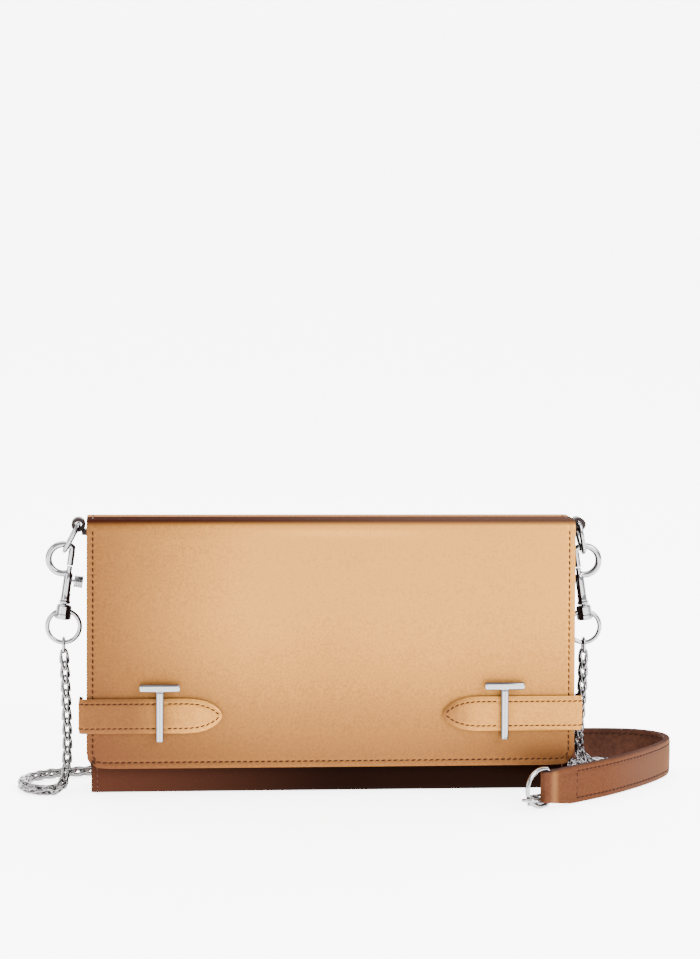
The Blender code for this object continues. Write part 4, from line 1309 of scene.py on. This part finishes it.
for word, frame_at in hooks.items():
    made = {f"snap_hook_{word}": (snap_hook(word, frame_at), f"hook_{word}"),
            f"gate_{word}": (gate(word, frame_at), f"gate_{word}")}
    eye, circle, centre = swivel_eye(word, frame_at)
    made[f"swivel_{word}"] = (eye, f"swivel_{word}")
    o_ring = wire(f"o_ring_{word}_wire", circle, O_RING_WIRE * MM, SILVER, closed=True, sides=6)
    made[f"o_ring_{word}"] = (o_ring, f"o_ring_{word}")
    foot = centre - Vector((0, 0, O_RING_RADIUS * MM))
    link_at = foot + Vector((0, 0, (O_RING_WIRE + 0.3 + END_LINK_WIRE - END_LINK_HALF) * MM))
    link_points = oval(link_at, Vector((0, 0, 1)), Vector((0, 1, 0)), END_LINK_HALF * MM, 2.2 * MM)
    end_link = wire(f"end_link_{word}_wire", link_points, END_LINK_WIRE * MM, SILVER, closed=True, sides=3)
    made[f"end_link_{word}"] = (end_link, f"o_ring_{word}")
    for node, (piece, body) in made.items():
        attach(piece, body)
        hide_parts(node)
    print(f"{word} hook:", {node: len(piece.data.polygons) for node, (piece, body) in made.items()})

# %% [markdown]
# ## The shoulder pad
#
# The pad is a leather band on its edge: bronze outside, brown split leather inside, painted edges, and a
# seam along both edges with a cross seam where each end is folded round its ring. Its cross-section is laid
# out point by point and carried along the route.

# %% Pad band
PAD_ROUTE = [
    (88.3, -48.5), (97.0, -42.6), (108.0, -34.4), (118.8, -25.6), (129.0, -15.8), (138.2, -5.8),
    (146.2, 4.4), (152.0, 14.0), (154.4, 23.4), (152.6, 31.4), (146.6, 37.2), (137.3, 40.6),
    (123.0, 41.9), (105.0, 41.2), (84.0, 39.6), (60.0, 37.6), (30.0, 35.0), (0.0, 32.6),
    (-25.0, 31.0), (-47.0, 30.0),
]
PAD_WIDTH, PAD_THICKNESS, PAD_END_WIDTH = 16.0, 3.0, 13.4
PAD_CENTRE_Z, PAD_END_Z = 8.3, 9.2
PAD_STEP, PAD_END_RADIUS, PAD_SEAM = 1.6, 3.0, 2.2
PAD_LINK_HALF, PAD_LINK_WIRE, PAD_RING_WIRE = 4.6, 0.7, 0.95
pad_points = smooth_route([Vector((x, y, 0)) for x, y in PAD_ROUTE], PAD_STEP)


def pad_station(i):
    """Place, inner side, half height and middle height of the band at one of its stations."""
    point = pad_points[i]
    along = (pad_points[min(i + 1, len(pad_points) - 1)] - pad_points[max(i - 1, 0)]).normalized()
    from_end = min(i, len(pad_points) - 1 - i) * PAD_STEP
    taper = max(0.0, 1 - from_end / 14) ** 1.3
    half = (PAD_WIDTH + (PAD_END_WIDTH - PAD_WIDTH) * taper) / 2
    return point, Vector((-along.y, along.x, 0)), half, PAD_CENTRE_Z + (PAD_END_Z - PAD_CENTRE_Z) * taper


def pad_section(half, thick, seam):
    """The band's cross-section: (towards the inner side, height) pairs from the outer side's foot round."""
    side = [(-thick * 0.80, -half + 0.12), (-thick, -half + 0.55), (-thick - 0.02 * seam, -half + 1.5),
            (-thick + 0.16 * seam, -half + 2.2), (-thick - 0.04 * seam, -half + 2.9),
            (-thick - 0.16 * seam, -half * 0.45), (-thick - 0.2 * seam, 0)]
    outer = side + [(a, -b) for a, b in reversed(side[:-1])]
    inner = [(-a * 0.98, b) for a, b in reversed(outer)]
    edge = [(thick * 0.3, half), (-thick * 0.3, half)]
    return outer + edge[::-1] + inner + [(a, -b) for a, b in edge]


def pad_rings():
    """The band's cross-sections as rings of points. The leather is folded round a bar at each end."""
    rings = []
    count = len(pad_points)
    for i in range(count):
        point, inner, half, middle = pad_station(i)
        from_end = min(i, count - 1 - i) * PAD_STEP
        t = min(from_end / 8.0, 1.0)
        swell = 1 - t * t * (3 - 2 * t)
        thick = PAD_THICKNESS / 2 + (PAD_END_RADIUS - PAD_THICKNESS / 2) * swell
        loop = pad_section(half, thick, 1 - swell)
        rings.append([(point + inner * a + Vector((0, 0, middle + b))) * MM for a, b in loop])
    for end, neighbour in ((0, 1), (count - 1, count - 2)):
        point, inner, half, middle = pad_station(end)
        outwards = (pad_points[end] - pad_points[neighbour]).normalized()
        caps = []
        for degrees in (22, 42, 60, 74, 85):
            t = math.radians(degrees)
            loop = pad_section(half - 0.35 * (1 - math.cos(t)), PAD_END_RADIUS * math.cos(t), 0.0)
            place = point + outwards * PAD_END_RADIUS * math.sin(t)
            caps.append([(place + inner * a + Vector((0, 0, middle + b))) * MM for a, b in loop])
        rings = caps[::-1] + rings if end == 0 else rings + caps
    return rings


def pad_band():
    rings = pad_rings()
    n = len(rings[0])
    side = [0] * 12 + [2] * 3 + [1] * 12 + [2] * 3
    faces, kinds = [], []
    for i in range(len(rings) - 1):
        for j in range(n):
            k = (j + 1) % n
            faces.append((i * n + j, i * n + k, (i + 1) * n + k, (i + 1) * n + j))
            kinds.append(side[j] if 5 <= i < len(rings) - 6 or side[j] == 2 else 0)
    faces += [tuple(range(n))[::-1], tuple(range((len(rings) - 1) * n, len(rings) * n))]
    kinds += [0, 0]
    data = bpy.data.meshes.new("shoulder_pad_leather")
    data.from_pydata([p for ring in rings for p in ring], [], faces)
    band = new_object("shoulder_pad_leather", data)
    paint(band, PAD_BRONZE, PAD_BACK, EDGE)
    data.polygons.foreach_set("material_index", kinds)
    weld_and_face_out(band, 1e-7)
    for place in (pad_points[0], pad_points[-1]):
        frame = Matrix.Translation(Vector((place.x, place.y, PAD_END_Z)) * MM)
        bore = turned("bore", [(0, -15), (1.3, -15), (1.3, 15), (0, 15)], frame, PAD_BACK, 20)
        boolean(band, [bore], "DIFFERENCE")
    smooth(band, 50)
    return band


def bronze_band():
    g = Graph("pad_bronze")
    x, y = g.axis("X"), g.axis("Y")
    right = x.smooth(0.11, 0.15)
    near = g.mix(mottled(g) + 0.4, (0.036, 0.013, 0.0062, 1), (0.086, 0.032, 0.016, 1))
    colour = g.mix(right, near, (0.056, 0.028, 0.021, 1))
    # Painted highlight: a light band across the folded near end of the band.
    painted_highlight = x.smooth(0.0885, 0.0912) * (1.0 - x.smooth(0.0912, 0.0940))
    painted_highlight = painted_highlight * (1.0 - y.smooth(-0.02, 0.0))
    colour = g.mix(painted_highlight * 0.5, colour, (0.17, 0.076, 0.030, 1))
    return foil(g, colour, 0.42, 0.2)


PAD_BRONZE = bronze_band()
pad = pad_band()
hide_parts("shoulder_pad")
print("pad:", len(pad.data.polygons), "faces,", round(length_of(pad_points)), "mm long")

# %% Pad rings and links
pad_parts = []
ends = (("near", pad_points[0], pad_points[0] - pad_points[1], RIGHT_TAIL[-1]),
        ("far", pad_points[-1], pad_points[-1] - pad_points[-2], LEFT_CHAIN[-1]))
link_pieces = {}
for word, end, outwards, chain_end in ends:
    bar = Vector((end.x, end.y, PAD_END_Z)) * MM
    outwards = outwards.normalized()
    half = (PAD_END_WIDTH / 2 + 0.3 + PAD_RING_WIRE) * MM
    ring = d_wire(f"pad_ring_{word}_wire", bar, outwards, half, 11.5 * MM, PAD_RING_WIRE * MM, SILVER)
    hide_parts(f"pad_ring_{word}")
    grip = bar + outwards * 9.95 * MM
    grip.z = 4.6 * MM
    along = (Vector((chain_end[0], chain_end[1], 2.4)) * MM - grip).normalized()
    across = Vector((-along.y, along.x, 0)).normalized()
    middle = grip + along * (PAD_LINK_HALF - PAD_LINK_WIRE - 1.9) * MM
    link_points = oval(middle, along, across, PAD_LINK_HALF * MM, 2.9 * MM)
    link = wire(f"pad_link_{word}_wire", link_points, PAD_LINK_WIRE * MM, SILVER, closed=True, sides=3)
    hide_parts(f"pad_link_{word}")
    for piece in (ring, link):
        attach(piece, "body")
    pad_parts.append(ring)
    link_pieces[word] = link
print("pad rings:", [p.name for p in pad_parts])


# %% Pad seams
def pad_seam(height_sign, side_sign, first, last):
    line, normals = [], []
    for i in range(first, last):
        point, inner, half, middle = pad_station(i)
        out = inner * side_sign
        line.append((point + out * (PAD_THICKNESS / 2 - 0.06)
                     + Vector((0, 0, middle + height_sign * (half - PAD_SEAM)))) * MM)
        normals.append(out)
    return sew(line, normals)


CROSS_AT = 10
pad_stitches = []
last = len(pad_points) - CROSS_AT
for side_sign in (-1, 1):
    for height_sign in (-1, 1):
        pad_stitches += pad_seam(height_sign, side_sign, CROSS_AT, last)
    for i in (CROSS_AT, last - 1):
        point, inner, half, middle = pad_station(i)
        out = inner * side_sign
        line = [(point + out * (PAD_THICKNESS / 2 + 0.04) + Vector((0, 0, middle + b))) * MM
                for b in steps(-half + 2.4, half - 2.4, 1.0)]
        pad_stitches += sew(line, [out] * len(line))
pad_thread = seam_piece("pad_stitching", pad_stitches, "body")
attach(pad, "body")

path = [(p + Vector((0, 0, PAD_CENTRE_Z))) * MM for p in pad_points]
tuple(path[0])
length_of(path)
[tuple(p) for p in path]
for word, link in (("left", "far"), ("right", "near")):
    rest, tops, path = chains[word]
    tuple(path[0])
    length_of(path)
    [tuple(p) for p in path]
    tops + ([link_pieces["near"], pad_parts[0]] if word == "right" else [])
print("strap declared:", round(length_of(path) * 1000), "mm of right chain")

# %% [markdown]
# ## Inside
#
# Under the flap the wallet is open at the top: four card slots on the back panel, a zipped coin pocket of
# twill in the middle, and a folded leather gusset at each end. None of this shows from outside, so it is
# kept plain.

# %% Gussets and card slots
GUSSET_LOW, GUSSET_HIGH = 3.9, 111.5


def gusset(side, word):
    """A concertina wall: three outer lines and two inner folds, a little narrower at the top."""
    def fold_line(z):
        back, front = 10.6, front_y(z) + 4.5
        middle = 3.0 if z > 50 else (back + front) / 2
        flat = 3.2
        far, near = (back + middle + flat) / 2, (front + middle - flat) / 2
        return [(102.2, back), (101.6, back - 0.6), (98.0, far + 0.4), (97.2, far), (98.0, far - 0.4),
                (101.6, middle + flat + 0.5), (102.2, middle + flat), (102.2, middle),
                (102.2, middle - flat), (101.6, middle - flat - 0.5), (98.0, near + 0.4), (97.2, near),
                (98.0, near - 0.4), (101.6, front + 0.6), (102.2, front)]

    count = len(fold_line(0)) - 1
    rows = steps(GUSSET_LOW, GUSSET_HIGH, 8.0)

    def place(k, z):
        low, high = fold_line(GUSSET_LOW)[k], fold_line(GUSSET_HIGH)[k]
        t = (z - GUSSET_LOW) / (GUSSET_HIGH - GUSSET_LOW)
        return Vector((side * (low[0] + (high[0] - low[0]) * t), low[1] + (high[1] - low[1]) * t, z)) * MM

    skin = lay_skin(f"gusset_{word}_leather", list(range(count + 1)), rows, place)
    face_towards(skin, (side, 0, 0))
    return thicken(skin, 0.8 * MM, 0.15 * MM, (DARK, DARK, EDGE))


def card_slot(number):
    """A leather panel with a creased line under its top edge."""
    back = 15 - 3.5 - number * 1.0
    top = 97.0 - number * 12
    rows = steps(5.0, top - 4, 9.0) + [top - d for d in (3.2, 2.6, 2.2, 1.8, 1.2, 0.5, 0.0)]

    def place(x, z):
        crease = 0.14 * math.exp(-((top - z - 2.2) / 0.35) ** 2)
        return Vector((x, back - 0.7 + crease, z)) * MM

    skin = lay_skin(f"card_slot_{number + 1}_leather", steps(-91, 91, 9.0), rows, place)
    face_towards(skin, (0, -1, 0))
    return thicken(skin, 0.55 * MM, 0.15 * MM, (DARK, DARK, EDGE))


for side, word in SIDES:
    wall = gusset(side, word)
    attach(wall, "body")
    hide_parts(f"gusset_{word}")
for number in range(4):
    panel = card_slot(number)
    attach(panel, "body")
    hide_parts(f"card_slot_{number + 1}")
print("gussets and card slots are in place")

# %% Coin pocket and zip
pocket = block("coin_pocket_cloth", (-89, -0.6, 5), (89, 5.2, 100), HERE, CLOTH, 0.25, 2)
hollow = block("hollow", (-88.4, 0.0, 5.6), (88.4, 4.6, 105), HERE, CLOTH)
boolean(pocket, [hollow], "DIFFERENCE")
paint(pocket, CLOTH)
smooth(pocket, 40)
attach(pocket, "body")
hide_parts("coin_pocket")

ZIP_MIDDLE, ZIP_Z = 2.3, 97.0
SLIDER_X = -80.0


def tooth_model(side):
    flip = Matrix.Diagonal((1, side, 1, 1))
    return as_model(block("tooth", (-0.45, 0.36, -0.7), (0.45, 1.1, 0.7), flip, STEEL, 0.12, 1))


def facing_y(x, y, z):
    """A place in millimetres, turned so that what is spun there points along Y."""
    return Matrix.Translation(Vector((x, y, z)) * MM) @ Matrix.Rotation(-math.pi / 2, 4, "X")


for side, word in ((-1, "front"), (1, "back")):
    shift = 0.7 if side > 0 else 0.0
    spots = [Vector((x + shift, ZIP_MIDDLE, ZIP_Z)) * MM for x in steps(-85.4, 84.6, 1.4)]
    places = [Matrix.Translation(spot) for spot in spots]
    teeth = copies(f"zip_teeth_{word}", tooth_model(side), places, STEEL)
    for polygon in teeth.data.polygons:
        polygon.use_smooth = False
    low, high = sorted((ZIP_MIDDLE + side * 1.0, ZIP_MIDDLE + side * 2.0))
    tape = block("tape", (-86, low, ZIP_Z - 0.2), (86, high, ZIP_Z + 0.2), HERE, CLOTH)
    row = join(f"zip_row_{word}_made", [tape, teeth])
    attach(row, "body")
    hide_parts(f"zip_row_{word}")


def zip_slider():
    x, y, z = SLIDER_X, ZIP_MIDDLE, ZIP_Z
    low, high = (x - 3.5, y - 1.6), (x + 3.5, y + 1.6)
    slider = block("zip_slider_polished", (*low, z + 1.1), (*high, z + 1.8), HERE, SILVER, 0.25, 2)
    others = [block("bottom", (*low, z - 1.8), (*high, z - 1.1), HERE, SILVER, 0.25, 2),
              block("web", (x - 1, y - 0.1, z - 1.5), (x + 1, y + 0.1, z + 1.5), HERE, SILVER)]
    for side in (-1.35, 1.35):
        low, high = (x - 0.9, y + side - 0.25, z + 1.5), (x + 0.9, y + side + 0.25, z + 3.9)
        others.append(block("lug", low, high, HERE, SILVER, 0.15, 2))
    profile = [(0, 0), (0.35, 0), (0.35, 2.6), (0, 2.6)]
    others.append(turned("pin", profile, facing_y(x, y - 1.3, z + 3.1), SILVER, 16))
    boolean(slider, others, "UNION")
    smooth(slider, 35)
    return slider


def zip_pull():
    x, y, z = SLIDER_X, ZIP_MIDDLE, ZIP_Z + 3.1
    low, high = (x - 0.5, y - 0.7, z - 0.45), (x + 14, y + 0.7, z + 0.45)
    pull = block("zip_pull_polished", low, high, HERE, SILVER, 0.3)
    profile = [(0, 0), (0.85, 0), (0.95, 0.1), (0.95, 1.4), (0.85, 1.5), (0, 1.5)]
    eye = turned("eye", profile, facing_y(x, y - 0.75, z), SILVER, 24)
    boolean(pull, [eye], "UNION")
    bore = turned("bore", [(0, 0), (0.6, 0), (0.6, 4), (0, 4)], facing_y(x, y - 2, z), SILVER, 20)
    boolean(pull, [bore], "DIFFERENCE")
    smooth(pull, 35)
    return pull


for piece, node, body in ((zip_slider(), "zip_slider", "zip_slider"), (zip_pull(), "zip_pull", "zip_pull")):
    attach(piece, body)
    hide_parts(node)
print("coin pocket and zip are in place")

# %% [markdown]
# ## Parts kept as they are
#
# The stiffening boards, the spine's lining, the magnets, the rivet washers and the gate springs are sealed
# inside the leather or the shanks. Their frame meshes are already the right shape, so they only need a
# finish.

# %% Finishes of the sealed parts
KEPT = {name: BOARD for name in ("back_board", "base_board", "front_board", "flap_board")}
KEPT["spine_lining"] = CLOTH
for side, word in SIDES:
    for name in ("flap_magnet", "front_magnet", "gate_spring"):
        KEPT[f"{name}_{word}"] = STEEL
    for end in ("top", "foot"):
        KEPT[f"post_washer_{word}_{end}"] = STEEL
for node, material in KEPT.items():
    paint(bpy.data.objects[node], material)
print("kept:", ", ".join(KEPT))

# %% [markdown]
# ## Floor and light
#
# A pale sweep curves up behind the wallet. One soft box stands at the upper right, a weaker one at the
# left, and a wide one hangs above. A dark card in front of the wallet, above the camera, gives the metal
# its dark lines.

# %% Sweep, lights and card
def sweep():
    line = [(-3.0, 0.0), (1.2, 0.0)] + [(y, z) for y, z in arc((1.2, 0.9), 0.9, -90, 0, 14)] + [(2.1, 3.2)]
    rows = list(range(len(line)))
    skin = lay_skin("sweep", [-3.5, 3.5], rows, lambda x, n: Vector((x, line[n][0], line[n][1])))
    smooth(face_towards(skin, (0, -0.2, 1)), 60)
    return skin


def plain(name, colour, glow=0.0):
    return Graph(name).set(Base_Color=colour, Roughness=0.85, Emission_Color=colour, Emission_Strength=glow)


def soft_box(name, place, target, size, power):
    data = bpy.data.lights.new(name, "AREA")
    data.shape = "RECTANGLE"
    data.size, data.size_y = size
    data.energy = power
    light = new_object(name, data)
    light.location = place
    light.rotation_euler = (Vector(target) - Vector(place)).to_track_quat("-Z", "Y").to_euler()


floor = paint(sweep(), plain("pale_floor", (0.88, 0.88, 0.88, 1), 5.0))
card_at = Matrix.Translation((0.10, -1.35, 0.62))
card_black = plain("card_black", (0.01, 0.01, 0.01, 1))
card = block("dark_card", (-140, -2, -220), (140, 2, 220), card_at, card_black)
soft_box("key_box", (0.75, -0.95, 0.75), (0, 0, 0.06), (0.7, 0.7), 40)
soft_box("fill_box", (-0.95, -0.7, 0.40), (0, 0, 0.05), (0.5, 0.8), 12)
soft_box("top_box", (0.0, 0.25, 1.5), (0, 0.1, 0), (1.6, 1.2), 40)
world = bpy.data.worlds.new("room")
bpy.context.scene.world = world
world.use_nodes = True
world.node_tree.nodes["Background"].inputs["Color"].default_value = (0.9, 0.92, 0.95, 1)
world.node_tree.nodes["Background"].inputs["Strength"].default_value = 1.6
print("floor, card and lights are set")
